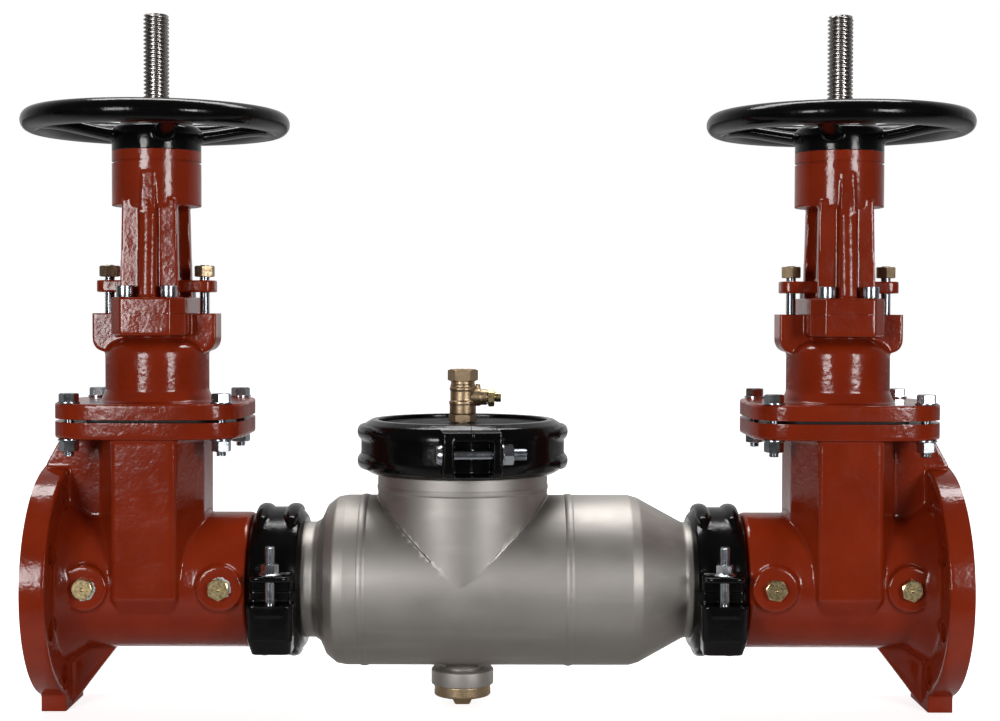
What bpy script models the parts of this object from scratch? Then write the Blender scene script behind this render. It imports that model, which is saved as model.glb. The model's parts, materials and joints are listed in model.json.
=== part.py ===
"""Double-check backflow preventer, DN100 (4 inch), in metres with +Z up.

Two flanged rising-stem gate valves stand either side of a stainless body. Grooved couplings join
the three, and a larger one holds the cover on the body's access opening. Two spring-loaded check
modules sit inside the body. A ball test cock stands on the cover and a drain plug hangs below.
Water runs along +X, and the origin is on the floor below the middle of the assembly.

Shapes are made along their own axis first. Heights inside the valve functions are measured from
the pipe's centre line, and +X there points from the valve towards the stainless body.
"""

import math

import bmesh
import bpy
from mathutils import Matrix, Vector

# Driving dimensions
PIPE_Z = 0.125  # pipe centre line above the floor
HALF_LENGTH = 0.446  # middle of the assembly to a flange face
VALVE_LENGTH = 0.2286  # flange face to grooved end
PIPE_GAP = 0.003  # left between two grooved ends
STEM_FROM_FACE = 0.108  # flange face to the stem's axis
LIFT = 0.108  # travel of the wedge from closed to open
LEAD = 0.008  # rise of the stem for each turn of the handwheel
POPPET_LIFT = 0.022
TEE_X = -0.0347  # axis of the access branch, the test cock and the drain
COVER_JOINT_Z = 0.1338  # middle of the top coupling above the pipe's centre line
TOP_COUPLING_TURN = math.radians(6)
WHEEL_TURN = math.radians(20)
GAP = 0.0003  # left between two touching pieces

# Worked out from them
VALVE_X = HALF_LENGTH - STEM_FROM_FACE
SPIGOT_X = VALVE_LENGTH - STEM_FROM_FACE
BODY_HALF = HALF_LENGTH - VALVE_LENGTH - PIPE_GAP
COUPLING_X = BODY_HALF + PIPE_GAP / 2

# Pipe sizes: outer radius, radius in the groove, and the bore
SMALL_PIPE = 0.05715
SMALL_GROOVE = 0.05504
SMALL_BORE = 0.0510
LARGE_PIPE = 0.08415
LARGE_GROOVE = 0.0820
WALL = 0.0032
GROOVE_NEAR = 0.0159  # pipe end to the near side of the groove
GROOVE_FAR = 0.0246

ROUND = 24  # sides of a large round piece
SMALL_ROUND = 12
TINY_ROUND = 8

PARTS = None
PAINTS = {}


def clear_scene():
    for obj in list(bpy.data.objects):
        bpy.data.objects.remove(obj, do_unlink=True)


def paint(name, color, roughness, metallic):
    material = bpy.data.materials.new(name)
    material.use_nodes = True
    shader = material.node_tree.nodes["Principled BSDF"]
    shader.inputs["Base Color"].default_value = (*color, 1.0)
    shader.inputs["Roughness"].default_value = roughness
    shader.inputs["Metallic"].default_value = metallic
    PAINTS[name] = material


def make_paints():
    paint("red_epoxy", (0.24, 0.035, 0.018), 0.28, 0.0)
    paint("black_enamel", (0.012, 0.012, 0.013), 0.22, 0.0)
    paint("stainless", (0.42, 0.39, 0.36), 0.42, 1.0)
    paint("steel", (0.46, 0.44, 0.42), 0.30, 1.0)
    paint("zinc", (0.62, 0.63, 0.65), 0.28, 1.0)
    paint("bronze", (0.42, 0.28, 0.14), 0.38, 1.0)
    paint("rubber", (0.02, 0.02, 0.02), 0.75, 0.0)
    paint("graphite", (0.05, 0.05, 0.05), 0.6, 0.0)
    paint("acetal", (0.75, 0.74, 0.70), 0.45, 0.0)


# Shapes


def shown(obj):
    PARTS.objects.link(obj)
    return obj


def from_bmesh(bm, name):
    bmesh.ops.recalc_face_normals(bm, faces=bm.faces)
    mesh = bpy.data.meshes.new(name)
    bm.to_mesh(mesh)
    bm.free()
    return shown(bpy.data.objects.new(name, mesh))


def baked(obj):
    """The object with its modifiers, or its curve, turned into one clean mesh."""
    bpy.context.view_layer.update()
    graph = bpy.context.evaluated_depsgraph_get()
    mesh = bpy.data.meshes.new_from_object(obj.evaluated_get(graph))
    bm = bmesh.new()
    bm.from_mesh(mesh)
    bpy.data.meshes.remove(mesh)
    bmesh.ops.remove_doubles(bm, verts=bm.verts, dist=1e-6)
    name = obj.name
    matrix = obj.matrix_world.copy()
    bpy.data.objects.remove(obj, do_unlink=True)
    made = from_bmesh(bm, name)
    made.matrix_world = matrix
    return made


def turn_to_x(obj):
    """Lays a shape made along Z down along X."""
    obj.data.transform(Matrix.Rotation(math.pi / 2, 4, "Y"))
    return obj


def turned(name, profile, steps=ROUND, ring=False, along_x=False):
    """A profile of (radius, height) points, top to bottom on the outside, turned about its axis."""
    mesh = bpy.data.meshes.new(name)
    points = [(radius, 0.0, height) for radius, height in profile]
    edges = [(i, i + 1) for i in range(len(points) - 1)]
    if ring:
        edges.append((len(points) - 1, 0))
    mesh.from_pydata(points, edges, [])
    obj = shown(bpy.data.objects.new(name, mesh))
    screw = obj.modifiers.new("Turn", "SCREW")
    screw.steps = steps
    screw.render_steps = steps
    screw.use_merge_vertices = True
    screw.merge_threshold = 0.0001
    obj = baked(obj)
    return turn_to_x(obj) if along_x else obj


def disc(name, radius, low, high, steps=ROUND, along_x=False):
    return turned(name, [(0, high), (radius, high), (radius, low), (0, low)], steps, along_x=along_x)


def ring(name, inner, outer, low, high, steps=ROUND, along_x=False):
    profile = [(inner, high), (outer, high), (outer, low), (inner, low)]
    return turned(name, profile, steps, ring=True, along_x=along_x)


def block(name, low, high):
    bm = bmesh.new()
    bmesh.ops.create_cube(bm, size=1.0)
    low, high = Vector(low), Vector(high)
    size = Matrix.Diagonal((*(high - low), 1.0))
    bmesh.ops.transform(bm, matrix=Matrix.Translation((low + high) / 2) @ size, verts=bm.verts)
    return from_bmesh(bm, name)


def rod(name, radius, start, end, sides=TINY_ROUND):
    """A round or hexagonal bar between two points."""
    start, end = Vector(start), Vector(end)
    along = end - start
    bm = bmesh.new()
    bmesh.ops.create_cone(
        bm, cap_ends=True, segments=sides, radius1=radius, radius2=radius, depth=along.length
    )
    turn = Vector((0, 0, 1)).rotation_difference(along).to_matrix().to_4x4()
    place = Matrix.Translation((start + end) / 2) @ turn
    bmesh.ops.transform(bm, matrix=place, verts=bm.verts)
    return from_bmesh(bm, name)


def hexagon(name, flats, start, end):
    return rod(name, flats / 2 / math.cos(math.pi / 6), start, end, sides=6)


def around(radius, sides=SMALL_ROUND):
    """The corner radius of a faceted hole whose flats clear a bar of that radius."""
    return (radius + GAP) / math.cos(math.pi / sides)


def plate(name, outline, low, high, upright=False):
    """A flat outline given thickness along Z or, when upright, an X-Z outline given it along Y."""
    curve = bpy.data.curves.new(name, "CURVE")
    curve.dimensions = "2D"
    curve.fill_mode = "BOTH"
    curve.extrude = (high - low) / 2
    spline = curve.splines.new("POLY")
    spline.points.add(len(outline) - 1)
    for point, (across, up) in zip(spline.points, outline):
        point.co = (across, up, 0.0, 1.0)
    spline.use_cyclic_u = True
    obj = baked(shown(bpy.data.objects.new(name, curve)))
    obj.data.transform(Matrix.Translation((0, 0, (low + high) / 2)))
    if upright:
        obj.data.transform(Matrix.Rotation(math.pi / 2, 4, "X"))
    return obj


def hull(name, points):
    bm = bmesh.new()
    for point in points:
        bm.verts.new(point)
    bmesh.ops.convex_hull(bm, input=bm.verts)
    return from_bmesh(bm, name)


def rounded_rectangle(half_x, half_y, radius, steps=4):
    points = []
    for corner, (side_x, side_y) in enumerate(((1, 1), (-1, 1), (-1, -1), (1, -1))):
        for step in range(steps + 1):
            angle = math.pi / 2 * (corner + step / steps)
            x = side_x * (half_x - radius) + radius * math.cos(angle)
            y = side_y * (half_y - radius) + radius * math.sin(angle)
            points.append((x, y))
    return points


def superellipse(half_x, half_y, power, steps=28):
    """An outline between an ellipse and a rectangle: the higher the power, the squarer."""
    points = []
    for step in range(steps):
        angle = 2 * math.pi * (step + 0.5) / steps
        c = math.cos(angle)
        s = math.sin(angle)
        reach = (abs(c / half_x) ** power + abs(s / half_y) ** power) ** (-1 / power)
        points.append((reach * c, reach * s))
    return points


def cut_rectangle(half_x, half_y, cut_x, cut_y):
    """A rectangle with its four corners cut off."""
    quarter = [(half_x, half_y - cut_y), (half_x - cut_x, half_y)]
    left = [(-x, y) for x, y in reversed(quarter)]
    upper = quarter + left
    return upper + [(-x, -y) for x, y in upper]


def combined(target, others, operation):
    for other in others:
        modifier = target.modifiers.new(operation.title(), "BOOLEAN")
        modifier.operation = operation
        modifier.object = other
    made = baked(target)
    for other in others:
        bpy.data.objects.remove(other, do_unlink=True)
    return without_flat_edges(made)


def without_flat_edges(obj):
    """Joins neighbouring faces that lie in one plane, which leaves fewer triangles."""
    bm = bmesh.new()
    bm.from_mesh(obj.data)
    bmesh.ops.dissolve_limit(bm, angle_limit=math.radians(0.1), verts=bm.verts, edges=bm.edges)
    bm.to_mesh(obj.data)
    bm.free()
    return obj


def fused(target, *others):
    return combined(target, others, "UNION")


def carved(target, *others):
    return combined(target, others, "DIFFERENCE")


def finished(obj, name, color):
    """Names a piece, paints it and shades it smooth between its sharp edges."""
    obj.name = name
    obj.data.name = name
    obj.data.materials.clear()
    obj.data.materials.append(PAINTS[color])
    obj.data.shade_smooth()
    obj.data.set_sharp_from_angle(angle=math.radians(35))
    return obj


def mount_point(name, location, turn_z=0.0, turn=None):
    """An empty that carries the pieces of one sub-assembly."""
    empty = bpy.data.objects.new(name, None)
    empty.location = location
    empty.rotation_euler = (0, 0, turn_z)
    if turn is not None:
        empty.rotation_euler = turn.to_euler()
    return shown(empty)


def placed(obj, parent, turn_z=0.0):
    obj.parent = parent
    obj.rotation_euler = (0, 0, turn_z)
    return obj


def copied(obj, name, parent, turn_z=0.0):
    """A second object that shares the first one's mesh."""
    twin = obj.copy()
    twin.name = name
    shown(twin)
    return placed(twin, parent, turn_z)


# Gate valve

FLANGE_RADIUS = 0.1143
FLANGE_THICK = 0.024
BOLT_CIRCLE = 0.09525
BOLT_HOLE = 0.0095
BARREL_RADIUS = 0.067
FOOT_HALF_Y = 0.036
CHEST_TOP = 0.1605
BONNET_LOW = 0.1635
BONNET_TOP = 0.1785
CHEST_HALF = (0.0505, 0.0735)
CHEST_CUT = (0.0205, 0.0470)
CAVITY_HALF = (0.0420, 0.0600)
CAVITY_CUT = (0.0200, 0.0400)
SEAT_FACE = 0.0183
BONNET_SHAPE = (0.0925, 0.0795, 4.3)  # half lengths and the power of the lids' outline
LID_THICK = 0.0162
BONNET_BOLTS = (0.073, 0.062)
PLUG_X = (-0.0583, 0.0715)
PLUG_Z = 0.0015
HEAD_HALF = (0.036, 0.062)  # the two plates where the yoke stands on the bonnet
HEAD_CUT = (0.012, 0.016)
HEAD_LOW = 0.2435
YOKE_LOW = 0.2646
YOKE_PLATE_TOP = 0.2805
YOKE_BOLTS = (0.021, 0.051)
GLAND_STUD_X = 0.047
YOKE_HEAD_LOW = 0.3700
YOKE_TOP = 0.4240
HUB_LOW = 0.4248
YOKE_RADIUS = 0.0436
STEM_RADIUS = 0.0125
STEM_TOP = 0.5590
NUT_RADIUS = 0.0195
NUT_FLANGE = 0.0310
WHEEL_Z = 0.4525
WHEEL_RADIUS = 0.1195
RIM_RADIUS = 0.0115
WEDGE_RADIUS = 0.0570
WEDGE_HALF = 0.0170


def corners(half_x, half_y):
    return [(x, y) for x in (-half_x, half_x) for y in (-half_y, half_y)]


def drilled(obj, spots, radius, low, high):
    """Cuts an upright hole at each spot."""
    drills = [rod("drill", radius, (x, y, low), (x, y, high)) for x, y in spots]
    return carved(obj, *drills)


def barrel():
    face = -STEM_FROM_FACE
    flange_back = face + FLANGE_THICK
    groove = (SPIGOT_X - GROOVE_NEAR, SPIGOT_X - GROOVE_FAR)
    profile = [
        (0, SPIGOT_X),
        (SMALL_PIPE, SPIGOT_X),
        (SMALL_PIPE, groove[0]),
        (SMALL_GROOVE, groove[0]),
        (SMALL_GROOVE, groove[1]),
        (BARREL_RADIUS - 0.0035, groove[1]),
        (BARREL_RADIUS, groove[1] - 0.0035),
        (BARREL_RADIUS, flange_back + 0.014),
        (BARREL_RADIUS + 0.005, flange_back + 0.004),
        (BARREL_RADIUS + 0.013, flange_back),
        (FLANGE_RADIUS, flange_back),
        (FLANGE_RADIUS, face),
        (0, face),
    ]
    return turned("barrel", profile, along_x=True)


def chest():
    """The upright housing of the wedge, with its lower end tapered into the barrel."""
    half_x, half_y = CHEST_HALF
    outline = cut_rectangle(half_x, half_y, *CHEST_CUT)
    foot = cut_rectangle(half_x * 0.65, half_y * 0.62, 0.013, 0.024)
    points = [(x, y, CHEST_TOP - 0.004) for x, y in outline]
    points += [(x, y, -0.019) for x, y in outline]
    points += [(x, y, -0.047) for x, y in foot]
    return hull("chest", points)


def valve_webs():
    """The foot and the ribs that brace the flange against the barrel and the chest."""
    face = -STEM_FROM_FACE
    back = face + FLANGE_THICK
    foot = block("foot", (face, -FOOT_HALF_Y, -PIPE_Z), (back, FOOT_HALF_Y, -0.104))
    low_rib = plate(
        "low_rib",
        [(back - 0.004, -0.1195), (back + 0.002, -0.1195), (-0.038, -0.058), (back - 0.004, -0.058)],
        -0.009,
        0.009,
        upright=True,
    )
    top_rib = plate(
        "top_rib",
        [
            (-0.0885, CHEST_TOP - 0.010),
            (face + 0.004, 0.108),
            (back - 0.004, 0.095),
            (back - 0.004, 0.055),
            (-0.045, 0.055),
            (-0.045, CHEST_TOP - 0.010),
        ],
        -0.020,
        0.020,
        upright=True,
    )
    return [foot, low_rib, top_rib]


def test_bosses():
    """Round pads with a screwed plug, two on each side of the barrel."""
    made = []
    for x in PLUG_X:
        for side in (-1, 1):
            inner = (x, side * 0.052, PLUG_Z)
            pad_end = (x, side * 0.071, PLUG_Z)
            made.append(rod("pad", 0.020, inner, pad_end, SMALL_ROUND))
            made.append(hexagon("plug", 0.021, inner, (x, side * 0.077, PLUG_Z)))
    return made


def valve_body():
    lid = superellipse(*BONNET_SHAPE)
    body = fused(
        barrel(),
        chest(),
        plate("lid", lid, CHEST_TOP - LID_THICK, CHEST_TOP),
        *valve_webs(),
        *test_bosses(),
    )
    half_x, half_y = CAVITY_HALF
    body = carved(
        body,
        disc("cavity", half_y, -half_x, half_x, along_x=True),
        plate("well", cut_rectangle(*CAVITY_HALF, *CAVITY_CUT), 0, 0.18),
    )
    seat_end = half_x + 0.004
    seat_wall = SMALL_BORE + 0.007
    body = fused(
        body,
        disc("seat", seat_wall, SEAT_FACE, seat_end, along_x=True),
        disc("seat", seat_wall, -seat_end, -SEAT_FACE, along_x=True),
    )
    holes = [disc("bore", SMALL_BORE, -0.12, 0.13, along_x=True)]
    for index in range(8):
        angle = math.pi / 8 + index * math.pi / 4
        y, z = BOLT_CIRCLE * math.sin(angle), BOLT_CIRCLE * math.cos(angle)
        holes.append(rod("hole", BOLT_HOLE, (-0.13, y, z), (-STEM_FROM_FACE + 0.045, y, z)))
    body = carved(body, *holes)
    return drilled(body, corners(*BONNET_BOLTS), 0.0068, CHEST_TOP - 0.03, CHEST_TOP + 0.01)


def bonnet_gasket():
    outer = plate("gasket", rounded_rectangle(0.058, 0.070, 0.016), CHEST_TOP + GAP, BONNET_LOW - GAP)
    inner = rounded_rectangle(0.046, 0.062, 0.010)
    return carved(outer, plate("window", inner, CHEST_TOP - 0.01, BONNET_LOW + 0.01))


def bonnet():
    lid = plate("bonnet", superellipse(*BONNET_SHAPE), BONNET_LOW, BONNET_TOP)
    dome = [
        (0, 0.246),
        (0.033, 0.246),
        (0.033, 0.2335),
        (0.041, 0.2275),
        (0.0475, 0.2185),
        (0.0508, 0.206),
        (0.0508, BONNET_LOW + 0.004),
        (0, BONNET_LOW + 0.004),
    ]
    ears = [(0.0607, 0.2628), (0.0607, 0.242), (0.057, 0.233), (0.048, 0.2280)]
    ears += [(-x, z) for x, z in reversed(ears)]
    head = cut_rectangle(*HEAD_HALF, *HEAD_CUT)
    made = fused(
        lid,
        turned("dome", dome),
        plate("head", head, HEAD_LOW, YOKE_LOW - GAP),
        plate("ears", ears, -0.0165, 0.0165, upright=True),
    )
    inside = [(0, 0.2165), (0.030, 0.2165), (0.043, 0.203), (0.043, 0.150), (0, 0.150)]
    made = carved(
        made,
        turned("inside", inside, 16),
        disc("stem_hole", around(STEM_RADIUS), 0.20, 0.28, SMALL_ROUND),
        disc("packing_box", 0.0220, 0.2330, 0.28, SMALL_ROUND),
    )
    made = drilled(made, corners(*BONNET_BOLTS), 0.0068, BONNET_LOW - 0.01, BONNET_TOP + 0.01)
    made = drilled(made, corners(*YOKE_BOLTS), 0.0052, HEAD_LOW - 0.01, YOKE_LOW + 0.01)
    return drilled(made, [(-GLAND_STUD_X, 0), (GLAND_STUD_X, 0)], 0.0055, 0.2397, 0.28)


def packing():
    return ring("packing", around(STEM_RADIUS), 0.0216, 0.2333, 0.2540, SMALL_ROUND)


def gland():
    """The follower that presses on the packing, with an ear for each stud."""
    ears = rounded_rectangle(0.0584, 0.0165, 0.012, steps=3)
    made = fused(
        plate("gland", ears, 0.2855, 0.2973),
        disc("sleeve", 0.0214, 0.2543, 0.2860, SMALL_ROUND),
        disc("collar", 0.0245, 0.2860, 0.3010, SMALL_ROUND),
    )
    made = carved(made, disc("stem_hole", around(STEM_RADIUS), 0.24, 0.31, SMALL_ROUND))
    return drilled(made, [(-GLAND_STUD_X, 0), (GLAND_STUD_X, 0)], 0.0056, 0.27, 0.31)


def gland_bolt(x):
    """A stud in the bonnet's ear with its bronze nut screwed on."""
    return fused(
        rod("stud", 0.0051, (x, 0, 0.2400), (x, 0, 0.3170)),
        hexagon("nut", 0.0180, (x, 0, 0.2976), (x, 0, 0.3120)),
    )


def yoke_arm(side):
    """One leg of the yoke: a tapered web with a rib down its outer face."""
    inner, outer, ridge = 0.0300, 0.0410, 0.0540
    low, high = YOKE_PLATE_TOP - 0.004, YOKE_HEAD_LOW + 0.004
    web = [(x, side * y, low) for x in (-0.029, 0.029) for y in (inner, outer)]
    web += [(x, side * y, high) for x in (-0.026, 0.026) for y in (inner - 0.003, outer - 0.003)]
    rib = [(x, side * y, low) for x in (-0.0075, 0.0075) for y in (inner, ridge)]
    rib += [(x, side * y, high) for x in (-0.0075, 0.0075) for y in (inner, ridge - 0.012)]
    return [hull("web", web), hull("rib", rib)]


def yoke():
    base = plate("yoke", cut_rectangle(*HEAD_HALF, *HEAD_CUT), YOKE_LOW, YOKE_PLATE_TOP)
    head = [
        (0, YOKE_TOP),
        (YOKE_RADIUS, YOKE_TOP),
        (YOKE_RADIUS, 0.4166),
        (YOKE_RADIUS - 0.0012, 0.4160),
        (YOKE_RADIUS - 0.0012, 0.4148),
        (YOKE_RADIUS, 0.4142),
        (YOKE_RADIUS, YOKE_HEAD_LOW),
        (0, YOKE_HEAD_LOW),
    ]
    made = fused(base, turned("head", head), *yoke_arm(-1), *yoke_arm(1))
    made = carved(
        made,
        disc("gland_way", 0.0275, YOKE_LOW - 0.01, YOKE_PLATE_TOP + 0.01, SMALL_ROUND),
        disc("nut_bore", around(NUT_RADIUS), YOKE_HEAD_LOW - 0.01, YOKE_TOP + 0.01, SMALL_ROUND),
        disc("nut_seat", around(NUT_FLANGE), 0.3970, 0.4070, SMALL_ROUND),
    )
    return drilled(made, corners(*YOKE_BOLTS), 0.0052, YOKE_LOW - 0.01, YOKE_PLATE_TOP + 0.01)


def stem_nut():
    """The bronze sleeve that the handwheel turns and that draws the stem up."""
    bore = around(STEM_RADIUS)
    profile = [
        (bore, 0.4715),
        (NUT_RADIUS, 0.4715),
        (NUT_RADIUS, 0.4065),
        (NUT_FLANGE, 0.4065),
        (NUT_FLANGE, 0.3975),
        (NUT_RADIUS, 0.3975),
        (NUT_RADIUS, 0.3735),
        (bore, 0.3735),
    ]
    return turned("stem_nut", profile, SMALL_ROUND, ring=True)


def handwheel():
    hub = turned(
        "handwheel",
        [
            (0, 0.4560),
            (0.0350, 0.4560),
            (0.0350, 0.4490),
            (0.0415, 0.4470),
            (0.0436, 0.4440),
            (0.0436, HUB_LOW),
            (0, HUB_LOW),
        ],
    )
    section = []
    for side in range(8):
        angle = 2 * math.pi * side / 8
        section.append((WHEEL_RADIUS + RIM_RADIUS * math.cos(angle), WHEEL_Z - RIM_RADIUS * math.sin(angle)))
    rim = turned("rim", section, ring=True)
    spokes = []
    for index in range(4):
        turn = Matrix.Rotation(index * math.pi / 2, 3, "Z")
        inner = turn @ Vector((0.030, 0, 0.4400))
        outer = turn @ Vector((WHEEL_RADIUS - 0.004, 0, WHEEL_Z - 0.001))
        spokes.append(rod("spoke", 0.0088, inner, outer, sides=6))
    made = fused(hub, rim, *spokes)
    return carved(made, disc("nut_bore", around(NUT_RADIUS), 0.42, 0.47, SMALL_ROUND))


def handwheel_nut():
    made = hexagon("handwheel_nut", 0.0520, (0, 0, 0.4563), (0, 0, 0.4690))
    return carved(made, disc("bore", around(NUT_RADIUS), 0.45, 0.48, SMALL_ROUND))


def stem():
    foot = LIFT + 0.0440
    profile = [
        (0, STEM_TOP),
        (STEM_RADIUS - 0.0015, STEM_TOP),
        (STEM_RADIUS, STEM_TOP - 0.0015),
        (STEM_RADIUS, foot),
        (0, foot),
    ]
    return turned("stem", profile, SMALL_ROUND)


def wedge():
    """The gate, drawn here fully raised."""
    gate = disc("wedge", WEDGE_RADIUS, -WEDGE_HALF, WEDGE_HALF, along_x=True)
    gate.data.transform(Matrix.Translation((0, 0, LIFT)))
    top = LIFT + 0.0720
    made = fused(gate, disc("boss", 0.0175, LIFT, top, SMALL_ROUND))
    return carved(made, disc("socket", around(STEM_RADIUS), LIFT + 0.0437, top + 0.01, SMALL_ROUND))


def gate_valves():
    """Both valves. They share their meshes, and the outlet one is turned half round."""
    inlet = mount_point("inlet_valve", (-VALVE_X, 0, PIPE_Z))
    outlet = mount_point("outlet_valve", (VALVE_X, 0, PIPE_Z), math.pi)
    pieces = (
        ("valve_body", valve_body, "red_epoxy"),
        ("bonnet_gasket", bonnet_gasket, "rubber"),
        ("bonnet", bonnet, "red_epoxy"),
        ("packing", packing, "graphite"),
        ("gland", gland, "red_epoxy"),
        ("yoke", yoke, "red_epoxy"),
        ("stem_nut", stem_nut, "bronze"),
        ("handwheel", handwheel, "black_enamel"),
        ("handwheel_nut", handwheel_nut, "zinc"),
        ("stem", stem, "steel"),
        ("wedge", wedge, "rubber"),
    )
    for name, make, color in pieces:
        turn = WHEEL_TURN if name.startswith("handwheel") else 0.0
        first = finished(make(), "inlet_" + name, color)
        placed(first, inlet, turn)
        copied(first, "outlet_" + name, outlet, -turn)
    for name, x in (("outer", -GLAND_STUD_X), ("inner", GLAND_STUD_X)):
        first = finished(gland_bolt(x), "inlet_gland_bolt_" + name, "zinc")
        placed(first, inlet)
        copied(first, "outlet_gland_bolt_" + name, outlet)


# Stainless body and its cover


def body_outline():
    """(radius, x) along the outside, from the outlet end to the inlet end."""
    near, far = BODY_HALF - GROOVE_NEAR, BODY_HALF - GROOVE_FAR
    grooved = [
        (SMALL_PIPE, BODY_HALF),
        (SMALL_PIPE, near),
        (SMALL_GROOVE, near),
        (SMALL_GROOVE, far),
        (SMALL_PIPE, far),
    ]
    cone = [(SMALL_PIPE, 0.1840), (0.0605, 0.1760), (0.0785, 0.1440), (0.0825, 0.1370), (LARGE_PIPE, 0.1310)]
    shoulder = [
        (LARGE_PIPE, -0.1490),
        (0.0825, -0.1575),
        (0.0765, -0.1660),
        (0.0680, -0.1715),
        (0.0605, -0.1745),
        (SMALL_PIPE, -0.1800),
    ]
    return grooved + cone + shoulder + [(radius, -x) for radius, x in reversed(grooved)]


def check_valve_body():
    outline = body_outline()
    outer = [(0, BODY_HALF), *outline, (0, -BODY_HALF)]
    neck, room = SMALL_PIPE - WALL, LARGE_PIPE - WALL
    inner = [(0, 0.23), (neck, 0.23), (neck, 0.181), (room, 0.129)]
    inner += [(room, -0.148), (neck, -0.177), (neck, -0.23), (0, -0.23)]
    branch_top = COVER_JOINT_Z - PIPE_GAP / 2
    branch = [
        (0, branch_top),
        (LARGE_PIPE, branch_top),
        (LARGE_PIPE, branch_top - GROOVE_NEAR),
        (LARGE_GROOVE, branch_top - GROOVE_NEAR),
        (LARGE_GROOVE, branch_top - GROOVE_FAR),
        (LARGE_PIPE, branch_top - GROOVE_FAR),
        (LARGE_PIPE, 0),
        (0, 0),
    ]
    branch = turned("branch", branch)
    drain = disc("drain", 0.0214, -0.0955, -0.075, SMALL_ROUND)
    opening = disc("opening", LARGE_PIPE - WALL, 0, branch_top + 0.02)
    drain_hole = disc("drain_hole", 0.0150, -0.11, -0.04, SMALL_ROUND)
    for obj in (branch, drain, opening, drain_hole):
        obj.data.transform(Matrix.Translation((TEE_X, 0, 0)))
    made = fused(turned("body", outer, along_x=True), branch, drain)
    return carved(made, turned("inside", inner, along_x=True), opening, drain_hole)


def top_cover():
    low = COVER_JOINT_Z + PIPE_GAP / 2
    shoulder = low + GROOVE_NEAR
    profile = [
        (0.0112, 0.1565),
        (0.0795, 0.1565),
        (LARGE_GROOVE, 0.1545),
        (LARGE_GROOVE, shoulder),
        (LARGE_PIPE, shoulder),
        (LARGE_PIPE, low),
        (0.0740, low),
        (0.0720, 0.1460),
        (0.0112, 0.1460),
    ]
    return turned("top_cover", profile, ring=True)


def drain_nut():
    profile = [(0.0218, -0.0875), (0.0295, -0.0875), (0.0311, -0.0890), (0.0311, -0.1035), (0.0218, -0.1035)]
    return turned("drain_nut", profile, SMALL_ROUND, ring=True)


def drain_plug():
    profile = [
        (0, -0.0960),
        (0.0214, -0.0960),
        (0.0214, -0.1038),
        (0.0281, -0.1038),
        (0.0281, -0.1145),
        (0.0265, -0.1160),
        (0.0110, -0.1182),
        (0, -0.1182),
    ]
    tip = hull(
        "tip",
        [(x, y, -0.1150) for x, y in corners(0.0105, 0.0105)]
        + [(x, y, -0.1243) for x, y in corners(0.0073, 0.0073)],
    )
    return fused(turned("drain_plug", profile, SMALL_ROUND), tip)


BALL_RADIUS = 0.0094
SPINDLE_RADIUS = 0.0049


def cock_body():
    """Ball test cock: a hexagon at each end and a side boss for the spindle."""
    barrel_profile = [
        (0, 0.2000),
        (0.0121, 0.2000),
        (0.0121, 0.1920),
        (0.0132, 0.1905),
        (0.0132, 0.1755),
        (0.0139, 0.1745),
        (0.0139, 0.1650),
        (0, 0.1650),
    ]
    made = fused(
        turned("cock_body", barrel_profile, SMALL_ROUND),
        hexagon("top", 0.0262, (0, 0, 0.1975), (0, 0, 0.2098)),
        hexagon("bottom", 0.0250, (0, 0, 0.1570), (0, 0, 0.1665)),
        disc("thread", 0.0102, 0.1440, 0.1580, SMALL_ROUND),
        rod("boss", 0.0085, (0.005, 0, 0.1820), (0.0240, 0, 0.1820), SMALL_ROUND),
        rod("stop", 0.0028, (0.0175, 0, 0.1850), (0.0175, 0, 0.1945)),
    )
    return carved(
        made,
        rod("way", 0.0052, (0, 0, 0.13), (0, 0, 0.22)),
        rod("ball_room", around(BALL_RADIUS), (-0.0098, 0, 0.1820), (0.0098, 0, 0.1820), SMALL_ROUND),
        rod("spindle_way", around(SPINDLE_RADIUS, TINY_ROUND), (0, 0, 0.1820), (0.03, 0, 0.1820)),
    )


def cock_ball():
    """A ball between flats, drilled across, with a slot's width left for the spindle."""
    bm = bmesh.new()
    bmesh.ops.create_uvsphere(bm, u_segments=12, v_segments=8, radius=BALL_RADIUS)
    bmesh.ops.transform(bm, matrix=Matrix.Translation((0, 0, 0.1820)), verts=bm.verts)
    made = from_bmesh(bm, "cock_ball")
    return carved(
        made,
        rod("way", 0.0050, (0, -0.02, 0.1820), (0, 0.02, 0.1820)),
        block("flat", (0.0062, -0.01, 0.17), (0.012, 0.01, 0.20)),
        block("flat", (-0.012, -0.01, 0.17), (-0.0085, 0.01, 0.20)),
    )


def cock_spindle():
    made = rod("cock_spindle", SPINDLE_RADIUS, (0.0066, 0, 0.1820), (0.0380, 0, 0.1820))
    return carved(made, block("slot", (0.0355, -0.0009, 0.17), (0.04, 0.0009, 0.20)))


def cock_nut():
    made = hexagon("cock_nut", 0.0165, (0.0243, 0, 0.1820), (0.0315, 0, 0.1820))
    bore = around(SPINDLE_RADIUS, TINY_ROUND)
    return carved(made, rod("bore", bore, (0.02, 0, 0.1820), (0.04, 0, 0.1820)))


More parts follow.
